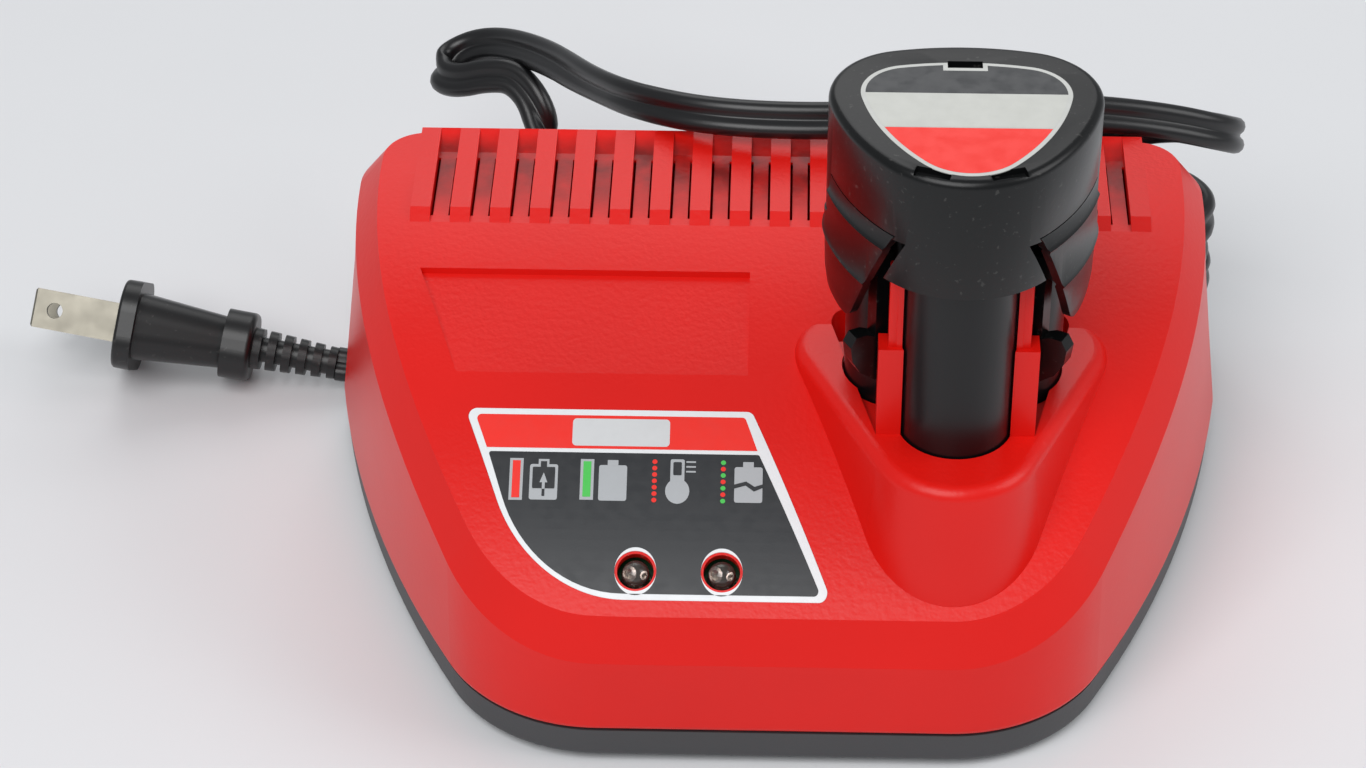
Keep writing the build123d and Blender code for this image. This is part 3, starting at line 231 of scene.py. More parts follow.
def carve(base: Object, tool: Mesh, operation: str = "DIFFERENCE") -> None:
    """Combine a piece with a closed body by an exact boolean.

    Args:
        base: the piece, changed in place.
        tool: the closed body; it is freed.
        operation: DIFFERENCE, INTERSECT or UNION.
    """
    knife = mesh_piece("knife", tool, base.data.materials[0])
    shape_by(base, "BOOLEAN", operation=operation, solver="EXACT", object=knife)
    bpy.data.objects.remove(knife)


def ease_edges(obj: Object, width: float) -> None:
    """Break the sharp edges of a piece with a small bevel."""
    limits = {"limit_method": "ANGLE", "angle_limit": math.radians(35.0)}
    shape_by(obj, "BEVEL", width=width * MM, segments=2, use_clamp_overlap=True, **limits)


def cut(mesh: Mesh, level: float, side: int = 1, clear: bool = False) -> None:
    """Cut a flat mesh at a level of Y; clear drops all rearwards of it, or forwards at side -1."""
    geometry = [*mesh.verts, *mesh.edges, *mesh.faces]
    place, normal = (0, level, 0), (0, side, 0)
    bmesh.ops.bisect_plane(mesh, geom=geometry, plane_co=place, plane_no=normal, clear_outer=clear)


def rounded(corners: Sequence[Point], steps: int = 6) -> list[Flat]:
    """Round the corners of a flat outline.

    Args:
        corners: x, y and corner radius of each corner, in order.
        steps: pieces of each arc.

    Returns:
        The outline's points.
    """
    outline: list[Flat] = []
    for i, (x, y, radius) in enumerate(corners):
        if radius <= 0:
            outline.append((x, y))
            continue
        corner = Vector((x, y))
        before = Vector(corners[i - 1][:2]) - corner
        after = Vector(corners[(i + 1) % len(corners)][:2]) - corner
        half = before.angle(after) / 2
        reach = radius / math.tan(half)
        inwards = (before.normalized() + after.normalized()).normalized()
        middle = corner + inwards * radius / math.sin(half)
        start = corner + before.normalized() * reach - middle
        turn = start.angle_signed(corner + after.normalized() * reach - middle)
        for k in range(steps + 1):
            spoke = start.copy()
            spoke.rotate(Matrix.Rotation(-turn * k / steps, 2))
            outline.append((middle.x + spoke.x, middle.y + spoke.y))
    return outline


def disc(x: float, y: float, radius: float, steps: int = 24) -> list[Flat]:
    """Outline of a flat round."""
    turns = [2 * math.pi * k / steps for k in range(steps)]
    return [(x + radius * math.cos(t), y + radius * math.sin(t)) for t in turns]


def box(left: float, top: float, right: float, bottom: float, radius: float = 0.0) -> list[Flat]:
    """Outline of a flat box with rounded corners."""
    corners = [(left, bottom), (right, bottom), (right, top), (left, top)]
    return rounded([(x, y, radius) for x, y in corners], 4)


@dataclass(frozen=True)
class RoofArch:
    """The housing's arched top: a circle across Y, level along X."""

    crest_y: float = 49.5
    crest_z: float = 65.0
    radius: float = 175.3

    def lean(self, y: float) -> float:
        """Angle of the roof at y, in radians."""
        return math.asin((self.crest_y - y) / self.radius)

    def point(self, x: float, y: float, lift: float) -> Vector:
        """Point of the roof, lifted off it square to its face.

        Args:
            x: sideways place.
            y: lengthwise place.
            lift: height over the face.

        Returns:
            The point.
        """
        lean = self.lean(y)
        height = self.crest_z - self.radius + self.radius * math.cos(lean)
        return Vector((x, y - lift * math.sin(lean), height + lift * math.cos(lean)))

    def depth_below(self, tree: Tree, axes: Any) -> Socket:
        """Output that says how many metres a place lies under the roof's circle.

        Args:
            tree: the material's node tree.
            axes: outputs X, Y and Z of the place.

        Returns:
            The depth.
        """
        offset = calc(tree, "SUBTRACT", axes["Y"], self.crest_y * MM)
        squared = calc(tree, "SUBTRACT", (self.radius * MM) ** 2, calc(tree, "POWER", offset, 2.0))
        centre_z = (self.crest_z - self.radius) * MM
        roof = calc(tree, "ADD", calc(tree, "SQRT", squared), centre_z)
        return calc(tree, "SUBTRACT", roof, axes["Z"])


ARCH = RoofArch()


# --- finishes
class Texture(Enum):
    """How a moulded surface was made, which sets its fine relief."""

    SPARK_ERODED = "spark eroded"
    SATIN = "satin"
    POLISHED = "polished"


@dataclass(frozen=True)
class Finish:
    """A material with a name and a colour; each kind of finish states its own surface."""

    name: str
    colour: str

    def surface(self, tree: Tree, place: Socket) -> dict[str, Any]:
        """State the inputs of the shader.

        Args:
            tree: the material's node tree.
            place: output with the place on the object.

        Returns:
            Shader input to constant or socket.
        """
        raise NotImplementedError

    def build(self) -> Material:
        """Make the material."""
        material = bpy.data.materials.new(self.name)
        material.use_nodes = True
        tree = material.node_tree
        tree.nodes.clear()
        place = put(tree, "ShaderNodeTexCoord").outputs["Object"]
        shader = put(tree, "ShaderNodeBsdfPrincipled", self.surface(tree, place))
        put(tree, "ShaderNodeOutputMaterial", {"Surface": shader.outputs[0]})
        return material


@dataclass(frozen=True)
class MouldedPlastic(Finish):
    """Moulded plastic: a fine grain, faint colour drift, a little dust, and painted shade on the
    floors of the vent grooves.
    """

    texture: Texture
    roughness: float
    grain: float = 0.45
    grain_depth: float = 0.03
    dust: float = 0.0
    gloss: float = 0.5
    # Strength of the painted shade on the vent groove floors, 0 for none.
    vent_shade: float = 0.0
    drift: float = 0.06

    def surface(self, tree: Tree, place: Socket) -> dict[str, Any]:
        """Colour, sheen and grain of the plastic, as in Finish."""
        inputs = {
            "Base Color": self.tinted(tree, place),
            "Roughness": self.roughness,
            "IOR": PLASTIC_IOR,
            "Specular IOR Level": self.gloss,
        }
        if self.texture is not Texture.POLISHED:
            height = noise(tree, place, 1 / (2 * self.grain * MM), 1.5, 0.6)
            if self.texture is Texture.SPARK_ERODED:
                # The grain is etched on the upward faces and is much finer on the walls.
                etched = ramp(tree, facing_up(tree), 0.45, 0.8, 0.25, 1.0)
                height = calc(tree, "MULTIPLY", height, etched)
            inputs["Normal"] = bump(tree, height, self.grain_depth)
        return inputs

    def tinted(self, tree: Tree, place: Socket) -> Socket:
        """Colour with its drift, dust and painted shade in the vent grooves; arguments as in
        Finish.
        """
        paler, deeper = (scaled(self.colour, 1 + side * self.drift) for side in (1, -1))
        colour = blend(tree, noise(tree, place, 35.0, 3.0), deeper, paler)
        if self.dust:
            specks = ramp(tree, noise(tree, place, 900.0, 2.0), 0.66, 0.74, 0.0, self.dust)
            colour = blend(tree, specks, colour, linear(DUST_COLOUR))
        if self.vent_shade:
            # Painted shade: the recessed groove floors of the vents are darkened.
            colour = blend(tree, self.painted_vent_shade(tree, place), colour, linear(VENT_SHADE_COLOUR))
        return colour

    def painted_vent_shade(self, tree: Tree, place: Socket) -> Socket:
        """Share of painted shade: on level floors of the vent grooves, in patches.

        Args:
            tree: the material's node tree.
            place: output with the place on the object, in metres.

        Returns:
            Share from 0 to the full strength of the painted shade.
        """
        axes = put(tree, "ShaderNodeSeparateXYZ", {"Vector": place}).outputs
        masks = (
            ramp(tree, ARCH.depth_below(tree, axes), 0.4 * MM, 1.8 * MM),
            ramp(tree, axes["Y"], 25.5 * MM, 26.2 * MM),
            ramp(tree, calc(tree, "ABSOLUTE", axes["X"]), 74.5 * MM, 73.8 * MM),
            ramp(tree, facing_up(tree), 0.7, 0.9),
        )
        shade_patches = noise(tree, place, 160.0, 4.0)
        share = ramp(tree, shade_patches, 0.3, 0.65, 0.35 * self.vent_shade, self.vent_shade)
        for mask in masks:
            share = calc(tree, "MULTIPLY", share, mask)
        return share


@dataclass(frozen=True)
class Metal(Finish):
    """Bare or plated metal, with fine rolling lines and uneven sheen."""

    roughness: float
    line: float = 0.3
    line_depth: float = 0.004

    def surface(self, tree: Tree, place: Socket) -> dict[str, Any]:
        """Colour, sheen and lines of the metal, as in Finish."""
        scale = {"Vector": place, "Scale": (0.08, 1.0, 1.0)}
        stretched = put(tree, "ShaderNodeMapping", scale).outputs[0]
        lines = noise(tree, stretched, 1 / (2 * self.line * MM), 2.0)
        blotches = noise(tree, place, 260.0, 2.0)
        low, high = 0.75 * self.roughness, 1.35 * self.roughness
        return {
            "Base Color": linear(self.colour),
            "Metallic": 1.0,
            "Roughness": ramp(tree, blotches, 0.0, 1.0, low, high),
            "Normal": bump(tree, lines, self.line_depth, 0.6),
        }


@dataclass(frozen=True)
class CastEpoxy(Finish):
    """Clear epoxy of a lamp, a little smoky, with the gloss of its mould."""

    roughness: float = 0.04

    def surface(self, tree: Tree, place: Socket) -> dict[str, Any]:
        """Clarity and slight waves of the epoxy, as in Finish."""
        return {
            "Base Color": linear(self.colour),
            "Transmission Weight": 0.9,
            "Roughness": self.roughness,
            "IOR": PLASTIC_IOR,
            "Normal": bump(tree, noise(tree, place, 500.0, 2.0), 0.02, 0.3),
        }


@dataclass(frozen=True)
class PrintedInk(Finish):
    """Screen printed ink under a clear film, unevenly rubbed."""

    roughness: float = 0.32

    def surface(self, tree: Tree, place: Socket) -> dict[str, Any]:
        """Colour and rubbed sheen of the print, as in Finish."""
        film = noise(tree, place, 420.0, 3.0)
        return {
            "Base Color": blend(tree, film, linear(self.colour), scaled(self.colour, 0.9)),
            "Roughness": ramp(tree, film, 0.4, 0.7, self.roughness, self.roughness + 0.12),
        }


@dataclass(frozen=True)
class WoundWire(Finish):
    """Enamelled copper wound in even turns: round wires side by side along Z."""

    wire: float = 0.7

    def surface(self, tree: Tree, place: Socket) -> dict[str, Any]:
        """Colour and turns of the wire, as in Finish."""
        waves = {"Vector": place, "Scale": math.pi / (20 * self.wire * MM), "Distortion": 0.3}
        turns = put(tree, "ShaderNodeTexWave", waves, bands_direction="Z").outputs["Fac"]
        return {
            "Base Color": linear(self.colour),
            "Metallic": 0.9,
            "Roughness": 0.3,
            "Normal": bump(tree, turns, 0.2),
        }


@dataclass(frozen=True)
class Paper(Finish):
    """Matt sheet under the charger, a little uneven in tone."""

    other_colour: str

    def surface(self, tree: Tree, place: Socket) -> dict[str, Any]:
        """Tone of the sheet, as in Finish."""
        clouds = noise(tree, place, 9.0, 4.0)
        tone = blend(tree, clouds, linear(self.colour), linear(self.other_colour))
        return {"Base Color": tone, "Roughness": 0.6}


SATIN = Texture.SATIN
RECIPES: dict[str, Finish] = {
    # Impact-grade ABS from a spark-eroded mould: saturated red with a glittering fine grain, and
    # painted shade darkening the floors of the vent grooves.
    "housing": MouldedPlastic(
        "red_abs", "#de150d", Texture.SPARK_ERODED, 0.34, 0.55, 0.06, gloss=0.3, vent_shade=0.75
    ),
    # Unpainted ABS: neutral grey, even and dull.
    "base": MouldedPlastic("grey_abs", "#3e3f41", SATIN, 0.5, 0.4),
    # Glass-filled nylon: near black with a soft waxy highlight and pale handling dust.
    "cap": MouldedPlastic("black_nylon", "#0a0b0c", SATIN, 0.3, 0.55, 0.01, 0.12, 0.32),
    # Heat-shrunk PVC: smooth black film.
    "sleeve": MouldedPlastic(
        "shrink_sleeve", "#0c0c0e", SATIN, 0.3, grain_depth=0.004, gloss=0.35
    ),
    "rubber": MouldedPlastic("foot_rubber", "#161616", SATIN, 0.7),
    # Flexible PVC: black and glossy.
    "jacket": MouldedPlastic("cord_pvc", "#0f0f11", SATIN, 0.33, grain_depth=0.006),
    "vinyl": MouldedPlastic("plug_pvc", "#0e0e0f", SATIN, 0.36, grain_depth=0.01, dust=0.1),
    "laminate": MouldedPlastic("glass_epoxy_board", "#1f5a33", SATIN, 0.35, 0.8, 0.01),
    "ferrite": MouldedPlastic("ferrite", "#2a2a2c", SATIN, 0.6),
    "moulding": MouldedPlastic("black_moulding", "#141414", SATIN, 0.45),
    "can_sleeve": MouldedPlastic("capacitor_sleeve", "#1a2036", Texture.POLISHED, 0.3),
    "tie": MouldedPlastic("woven_tie", "#131313", SATIN, 0.75, 0.6, 0.05),
    "epoxy": CastEpoxy("lamp_epoxy", "#b9aba6"),
    "copper": WoundWire("enamelled_copper", "#a8552f"),
    "silver": PrintedInk("silver_ink", "#eef0f2", 0.36),
    "red": PrintedInk("red_ink", "#f8291c", 0.4),
    "dark": PrintedInk("charcoal_ink", "#2b2d30"),
    "white": PrintedInk("white_ink", "#d9dadb"),
    "grey": PrintedInk("pale_grey_ink", "#b4b7ba"),
    "green": PrintedInk("green_ink", "#4fc957"),
    "foil": PrintedInk("label_foil", "#c9cac6", 0.4),
    "pale": PrintedInk("pale_foil", "#cbccc6", 0.45),
    "zinc": Metal("zinc_plated_steel", "#b9bbbf", 0.3),
    "nickel": Metal("nickel_strip", "#c9c7c0", 0.25),
    # Nickel-plated brass, scuffed by sockets.
    "blade": Metal("nickel_plated_brass", "#8f8b80", 0.42, 0.4, 0.006),
    "aluminium": Metal("extruded_aluminium", "#c3c5c7", 0.35),
    "brass": Metal("spring_brass", "#c9a65a", 0.28),
    "cell": Metal("cell_steel", "#9b9ea2", 0.3),
}

DRESSING: dict[str, tuple[str, ...]] = {
    "housing": ("upper_housing",),
    "base": ("lower_housing",),
    "rubber": ("rubber_feet",),
    "zinc": ("case_screws", "board_screws", "indicator_screws"),
    "silver": ("indicator_label",),
    "epoxy": ("red_led", "green_led"),
    "sleeve": ("stem_shell",),
    "cell": ("front_cell", "right_cell", "left_cell"),
    "nickel": ("cell_straps", "fuse"),
    "brass": ("battery_terminals", "charge_contacts"),
    "laminate": ("protection_board", "circuit_board", "indicator_board"),
    "ferrite": ("transformer_core",),
    "copper": ("filter_choke", "transformer_winding"),
    "moulding": (
        "transformer_bobbin", "power_transistor", "rectifier", "microcontroller", "contact_block",
    ),
    "can_sleeve": ("input_capacitor", "output_capacitors"),
    "aluminium": ("heat_sink",),
    "vinyl": ("plug_body", "plug_strain_relief", "cord_bushing"),
    "blade": ("plug_blades",),
    "tie": ("hank_tie",),
}

Finishes = dict[str, Material]


def dress_nodes(finishes: Finishes) -> None:
    """Give every CAD node that stays in sight or inside its finish."""
    for key, nodes in DRESSING.items():
        for node in nodes:
            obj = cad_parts[node]
            for slot in obj.material_slots:
                slot.material = finishes[key]
            if not obj.material_slots:
                obj.data.materials.append(finishes[key])
            LOG.info("dressed %s in %s", node, finishes[key].name)


# --- label
@dataclass
class DotColumn:
    """Geometry Nodes tree that sets round dots along a line; lengths in metres."""

    count: int
    first: Vector
    last: Vector
    radius: float
    lean: float

    def inputs(self) -> dict[str, tuple[str, Any]]:
        """Kind and value of each named input of the tree."""
        return {
            "Count": ("Int", self.count),
            "Start": ("Vector", self.first),
            "Step": ("Vector", (self.last - self.first) / (self.count - 1)),
            "Radius": ("Float", self.radius),
            "Lean": ("Vector", (self.lean, 0.0, 0.0)),
        }

    def tree(self, main: Material, other: Material) -> Tree:
        """Build the tree.

        Args:
            main: ink of the second dot and every other one after it.
            other: ink of the dots between, which may be the same.

        Returns:
            A tree with the named inputs.
        """
        tree = bpy.data.node_groups.new("dot_column", "GeometryNodeTree")
        face = tree.interface
        face.new_socket("Geometry", in_out="OUTPUT", socket_type="NodeSocketGeometry")
        for name, (kind, _) in {"Geometry": ("Geometry", None), **self.inputs()}.items():
            face.new_socket(name, in_out="INPUT", socket_type=f"NodeSocket{kind}")
        given = put(tree, "NodeGroupInput").outputs
        row = {"Count": given["Count"], "Start Location": given["Start"], "Offset": given["Step"]}
        line = put(tree, "GeometryNodeMeshLine", row).outputs[0]
        size = {"Vertices": 16, "Radius": given["Radius"]}
        dot = put(tree, "GeometryNodeMeshCircle", size, fill_type="NGON").outputs[0]
        feeds = {"Points": line, "Instance": dot, "Rotation": given["Lean"]}
        spread = put(tree, "GeometryNodeInstanceOnPoints", feeds).outputs[0]
        odd = calc(tree, "MODULO", put(tree, "GeometryNodeInputIndex").outputs[0], 2.0)
        halves = {"A": odd, "B": 0.5}
        even = put(tree, "FunctionNodeCompare", halves, operation="LESS_THAN").outputs[0]
        split = {"Geometry": spread, "Selection": even}
        parts = put(tree, "GeometryNodeSeparateGeometry", split, domain="INSTANCE").outputs
        joined = put(tree, "GeometryNodeJoinGeometry")
        for ink, part in ((main, parts[1]), (other, parts[0])):
            inked = put(tree, "GeometryNodeSetMaterial", {"Material": ink, "Geometry": part})
            tree.links.new(inked.outputs[0], joined.inputs[0])
        real = put(tree, "GeometryNodeRealizeInstances", {"Geometry": joined.outputs[0]})
        put(tree, "NodeGroupOutput", {0: real.outputs[0]})
        return tree

    def build(self, name: str, main: Material, other: Material) -> Object:
        """Evaluate the tree into a plain mesh.

        Args:
            name: name of the piece.
            main: ink of the second dot and every other one after it.
            other: ink of the dots between.

        Returns:
            The finished piece.
        """
        carrier = link(f"{name}_carrier", bpy.data.meshes.new(name))
        modifier = carrier.modifiers.new("dots", "NODES")
        modifier.node_group = self.tree(main, other)
        values = self.inputs()
        for item in modifier.node_group.interface.items_tree:
            if item.in_out == "INPUT" and item.name in values:
                modifier[item.identifier] = values[item.name][1]
        piece = link(name, evaluated(carrier, every_layer=True))
        bpy.data.objects.remove(carrier)
        return piece


@dataclass
class StatusLabel:
    """Printed label with its band, bare plate and four charge symbols."""

    finishes: Finishes
    ink: float = 0.03
    layer: float = 0.055
    lamp_window: float = 3.7
    cut_step: float = 1.6

    def build(self) -> None:
        """Print every patch of the label, one piece for each ink."""
        inks = {key: bmesh.new() for key in ("red", "dark", "white", "grey", "green")}
        band = [(-54.0, -18.7, 0.8), (-5.6, -18.7, 0.8), (-3.3, -24.8, 0), (-51.6, -24.8, 0)]
        self.patch(inks["red"], rounded(band), self.ink)
        field = [(-51.3, -25.5, 0.4), (-3.0, -25.5, 0.4), (8.3, -48.5, 0.8), (-43.0, -48.5, 23.0)]
        windows = [(x, y, self.lamp_window) for x, y in LAMP_PLACES]
        self.patch(inks["dark"], rounded(field, 16), self.ink, windows)
        for key, level, outline in self.marks():
            self.patch(inks[key], outline, level * self.layer)
        pieces = [
            mesh_piece(f"label_print_{key}", mesh, self.finishes[key])
            for key, mesh in inks.items()
        ]
        pieces += [
            self.dots("label_dots_hot", -21.5, "red"),
            self.dots("label_dots_fault", -9.3, "green"),
        ]
        for piece in pieces:
            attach(piece, "charger")
            LOG.info("printed %s", piece.name)

    @staticmethod
    def marks() -> list[tuple[str, int, list[Flat]]]:
        """Ink, layer and outline of every mark, the lowest layer being 1."""

        def cell(left: float) -> list[tuple[str, int, list[Flat]]]:
            """Solid battery silhouette whose left side is at left."""
            body = box(left, -27.7, left + 5.0, -33.8, 0.4)
            return [("grey", 1, body), ("grey", 1, box(left + 1.5, -26.8, left + 3.4, -27.75, 0.1))]

        arrow = [(-41.2, -29.2), (-40.5, -30.9), (-40.95, -30.9), (-40.95, -32.0)]
        arrow += [(-41.45, -32.0), (-41.45, -30.9), (-41.9, -30.9)]
        crack = [(-7.5, -31.5), (-5.3, -30.9), (-3.8, -31.9), (-2.1, -31.2)]
        crack += [(-2.1, -30.6), (-3.7, -31.1), (-5.2, -30.2), (-7.5, -30.8)]
        return [
            ("white", 1, box(-36.4, -19.3, -19.0, -24.3, 0.7)),
            # Steady red bar beside an outlined battery with an arrow.
            ("grey", 1, box(-47.3, -26.7, -44.9, -33.9)),
            ("red", 2, box(-46.8, -27.1, -45.4, -33.5)),
            *cell(-43.7),
            ("dark", 2, box(-43.2, -28.2, -39.2, -31.9, 0.2)),
            ("dark", 2, box(-41.8, -27.2, -40.7, -28.3)),
            ("grey", 3, arrow),
            ("dark", 2, box(-41.45, -32.0, -40.95, -33.2)),
            # Steady green bar beside a full battery.
            ("grey", 1, box(-34.7, -26.7, -32.3, -33.7)),
            ("green", 2, box(-34.2, -27.1, -32.8, -33.2)),
            *cell(-31.4),
            # Thermometer with three ticks.
            ("grey", 1, box(-18.7, -26.5, -16.2, -31.0, 0.3)),
            ("grey", 1, disc(-17.4, -32.0, 2.15)),
            ("dark", 2, box(-18.2, -27.0, -16.7, -29.3, 0.2)),
            *[("grey", 1, box(-15.9, y, -14.2, y - 0.28)) for y in (-26.8, -27.65, -28.5)],
            # Battery with a crack across it.
            *cell(-7.3),
            ("dark", 2, crack),
        ]

    def patch(
        self, mesh: Mesh, outline: Sequence[Flat], lift: float, holes: Sequence[Point] = ()
    ) -> None:
        """Add one patch of ink, cut across so that it bends with the roof.

        Args:
            mesh: the piece that gets the patch.
            outline: its flat outline.
            lift: height over the roof.
            holes: x, y and radius of each round hole in it.
        """
        flat = bmesh.new()
        face = flat.faces.new([flat.verts.new((x, y, 0)) for x, y in outline])
        following = zip(outline, [*outline[1:], outline[0]])
        if sum((b[0] - a[0]) * (b[1] + a[1]) for a, b in following) > 0:
            bmesh.ops.reverse_faces(flat, faces=[face])
        if holes:
            edges = list(flat.edges)
            for x, y, radius in holes:
                ring = [flat.verts.new((px, py, 0)) for px, py in disc(x, y, radius, 40)]
                edges += [flat.edges.new((ring[k], ring[k - 1])) for k in range(len(ring))]
            bmesh.ops.delete(flat, geom=list(flat.faces), context="FACES_ONLY")
            bmesh.ops.triangle_fill(flat, edges=edges, use_beauty=True, normal=(0, 0, 1))
        low, high = (pick(y for _, y in outline) for pick in (min, max))
        cuts = max(1, int((high - low) / self.cut_step))
        for k in range(1, cuts):
            cut(flat, low + (high - low) * k / cuts)
        bmesh.ops.triangulate(flat, faces=list(flat.faces))
        for triangle in flat.faces:
            if triangle.normal.z < 0:
                triangle.normal_flip()
        copied = {v: mesh.verts.new(ARCH.point(v.co.x, v.co.y, lift) * MM) for v in flat.verts}
        for triangle in flat.faces:
            mesh.faces.new([copied[v] for v in triangle.verts])
        flat.free()

    def dots(self, name: str, x: float, other: str) -> Object:
        """Column of seven round dots.

        Args:
            name: name of the piece.
            x: place of the column.
            other: ink of every second dot, the rest being red.

        Returns:
            The column as a plain mesh.
        """
        high, low, dot_radius = -27.0, -33.6, 0.45
        first, last = (ARCH.point(x, y, 2 * self.layer) * MM for y in (high, low))
        column = DotColumn(7, first, last, dot_radius * MM, ARCH.lean((high + low) / 2))
        return column.build(name, self.finishes["red"], self.finishes[other])


# --- housing
@dataclass
class Housing:
    """Guide fins and bay floor of the tower, and the metal inside the lamps."""

    finishes: Finishes
    lobe_circle: float = 11.0
    lobe_room: float = 10.25
    floor_low: float = 49.2
    floor_high: float = 56.3
    cut_low: float = 48.0
    cut_high: float = 58.0

    def guides(self) -> None:
        """Two tall guide fins that run on up from the rails beside the front lobe."""
        for key, side in (("left", -1), ("right", 1)):
            near, far = (STEM_MIDDLE[0] + side * offset for offset in (10.35, 12.3))
            ring = [(near, -30.4), (far, -30.4), (far, -28.4), (near, -28.4)]
            fin = mesh_piece(f"{key}_guide_fin", prism(ring, 74.0, 93.6), self.finishes["housing"])
            ease_edges(fin, 0.3)
            smooth(fin, 30)
            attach(fin, "charger")

    def bay_floor(self) -> None:
        """Raised floor of the latch bay, close round the three lobes of the stem."""
        middle, level = STEM_MIDDLE
        corners = [(-13.8, -31.2), (13.8, -31.2), (21.7, -2.5), (-21.7, -2.5)]
        body = prism([(middle + x, y) for x, y in corners], self.floor_low, self.floor_high)
        floor = mesh_piece("bay_floor", body, self.finishes["housing"])
        for turn in (-90, 30, 150):
            angle = math.radians(turn)
            x = middle + self.lobe_circle * math.cos(angle)
            y = level + self.lobe_circle * math.sin(angle)
            carve(floor, prism(disc(x, y, self.lobe_room, 48), self.cut_low, self.cut_high))
        core = [(middle - 11, -12.0), (middle, -29.0), (middle + 11, -12.0)]
        carve(floor, prism(core, self.cut_low, self.cut_high))
        smooth(floor, 30)
        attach(floor, "charger")

    def lead_frames(self) -> None:
        """Metal cup and post inside each lamp, square to the roof."""
        posts = ((-0.9, 1.3, 0.95), (0.9, 0.7, 0.45))
        foot = 0.5
        for number, (x, y) in enumerate(LAMP_PLACES):
            mesh = bmesh.new()
            for aside, top, cup in posts:
                levels = [(-7.0, foot), (top - 4.6, foot), (top - 3.4, cup)]
                levels += [(top - 3.4, 0.6 * cup), (top - 3.9, 0.1)]
                rounds = [(lift, disc(x + aside, y, radius, 16)) for lift, radius in levels]
                loft([[ARCH.point(px, py, lift) for px, py in ring] for lift, ring in rounds], mesh)
            piece = mesh_piece(f"lamp_lead_frame_{number + 1}", mesh, self.finishes["nickel"])
            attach(piece, "charger")
            LOG.info("set %s", piece.name)


# --- battery
@dataclass(frozen=True)
class BowedTriangle:
    """Triangle round the stem with bowed sides and rounded corners, nose to the front."""

    nose_reach: float
    corner_half: float
    corner_reach: float
    nose_radius: float
    corner_radius: float
    flank_bow: float = 39.6
    rear_bow: float = 55.0

    @staticmethod
    def bow_centre(start: Vector, end: Vector, radius: float) -> Vector:
        """Centre of the arc from start to end that bows out on the right-hand side."""
        run = end - start
        inwards = Vector((-run.y, run.x)).normalized()
        return (start + end) / 2 + inwards * math.sqrt(radius**2 - (run.length / 2) ** 2)

    @staticmethod
    def crossing(
        first: Vector, first_reach: float, second: Vector, second_reach: float, near: Vector
    ) -> Vector:
        """Meeting point of two rounds that lies nearer to near."""
        gap = second - first
        along = (first_reach**2 - second_reach**2 + gap.length_squared) / (2 * gap.length)
        foot = first + gap.normalized() * along
        across = Vector((-gap.y, gap.x)).normalized() * math.sqrt(first_reach**2 - along**2)
        return min((foot + across, foot - across), key=lambda p: (p - near).length)

    @staticmethod
    def arc(centre: Vector, radius: float, start: Vector, end: Vector, steps: int) -> list[Flat]:
        """Points of an anticlockwise arc, without its last one."""
        first = math.atan2(start.y, start.x)
        turn = (math.atan2(end.y, end.x) - first) % math.tau
        angles = [first + turn * k / steps for k in range(steps)]
        return [(centre.x + radius * math.cos(a), centre.y + radius * math.sin(a)) for a in angles]

    def points(self, growth: float, steps: int = 20) -> list[Flat]:
        """Outline grown by growth, anticlockwise from the nose.

        Args:
            growth: distance outwards, negative for inwards.
            steps: pieces of each arc.

        Returns:
            The outline's points.
        """
        half, rear = self.corner_half, self.corner_reach
        reaches = ((0, -self.nose_reach), (half, rear), (-half, rear))
        tips = [Vector(STEM_MIDDLE) + Vector(reach) for reach in reaches]
        bows = (self.flank_bow, self.rear_bow, self.flank_bow)
        sides = [
            (self.bow_centre(tips[k], tips[(k + 1) % 3], bow), bow) for k, bow in enumerate(bows)
        ]
        radii = (self.nose_radius, self.corner_radius, self.corner_radius)
        arcs = []
        for k, (tip, radius) in enumerate(zip(tips, radii)):
            (before, before_bow), (after, after_bow) = sides[k - 1], sides[k]
            centre = self.crossing(before, before_bow - radius, after, after_bow - radius, tip)
            ends = ((centre - side).normalized() for side in (before, after))
            arcs.append((centre, radius, *ends))
        outline: list[Flat] = []
        for k, (centre, radius, start, end) in enumerate(arcs):
            outline += self.arc(centre, radius + growth, start, end, steps)
            side, bow = sides[k]
            outline += self.arc(side, bow + growth, end, arcs[(k + 1) % 3][2], steps)
        return outline

    def rings(self, levels: Sequence[Flat], steps: int = 20) -> list[list[Point]]:
        """Outlines at several levels, each given as its height and growth."""
        return [[(x, y, z) for x, y in self.points(growth, steps)] for z, growth in levels]


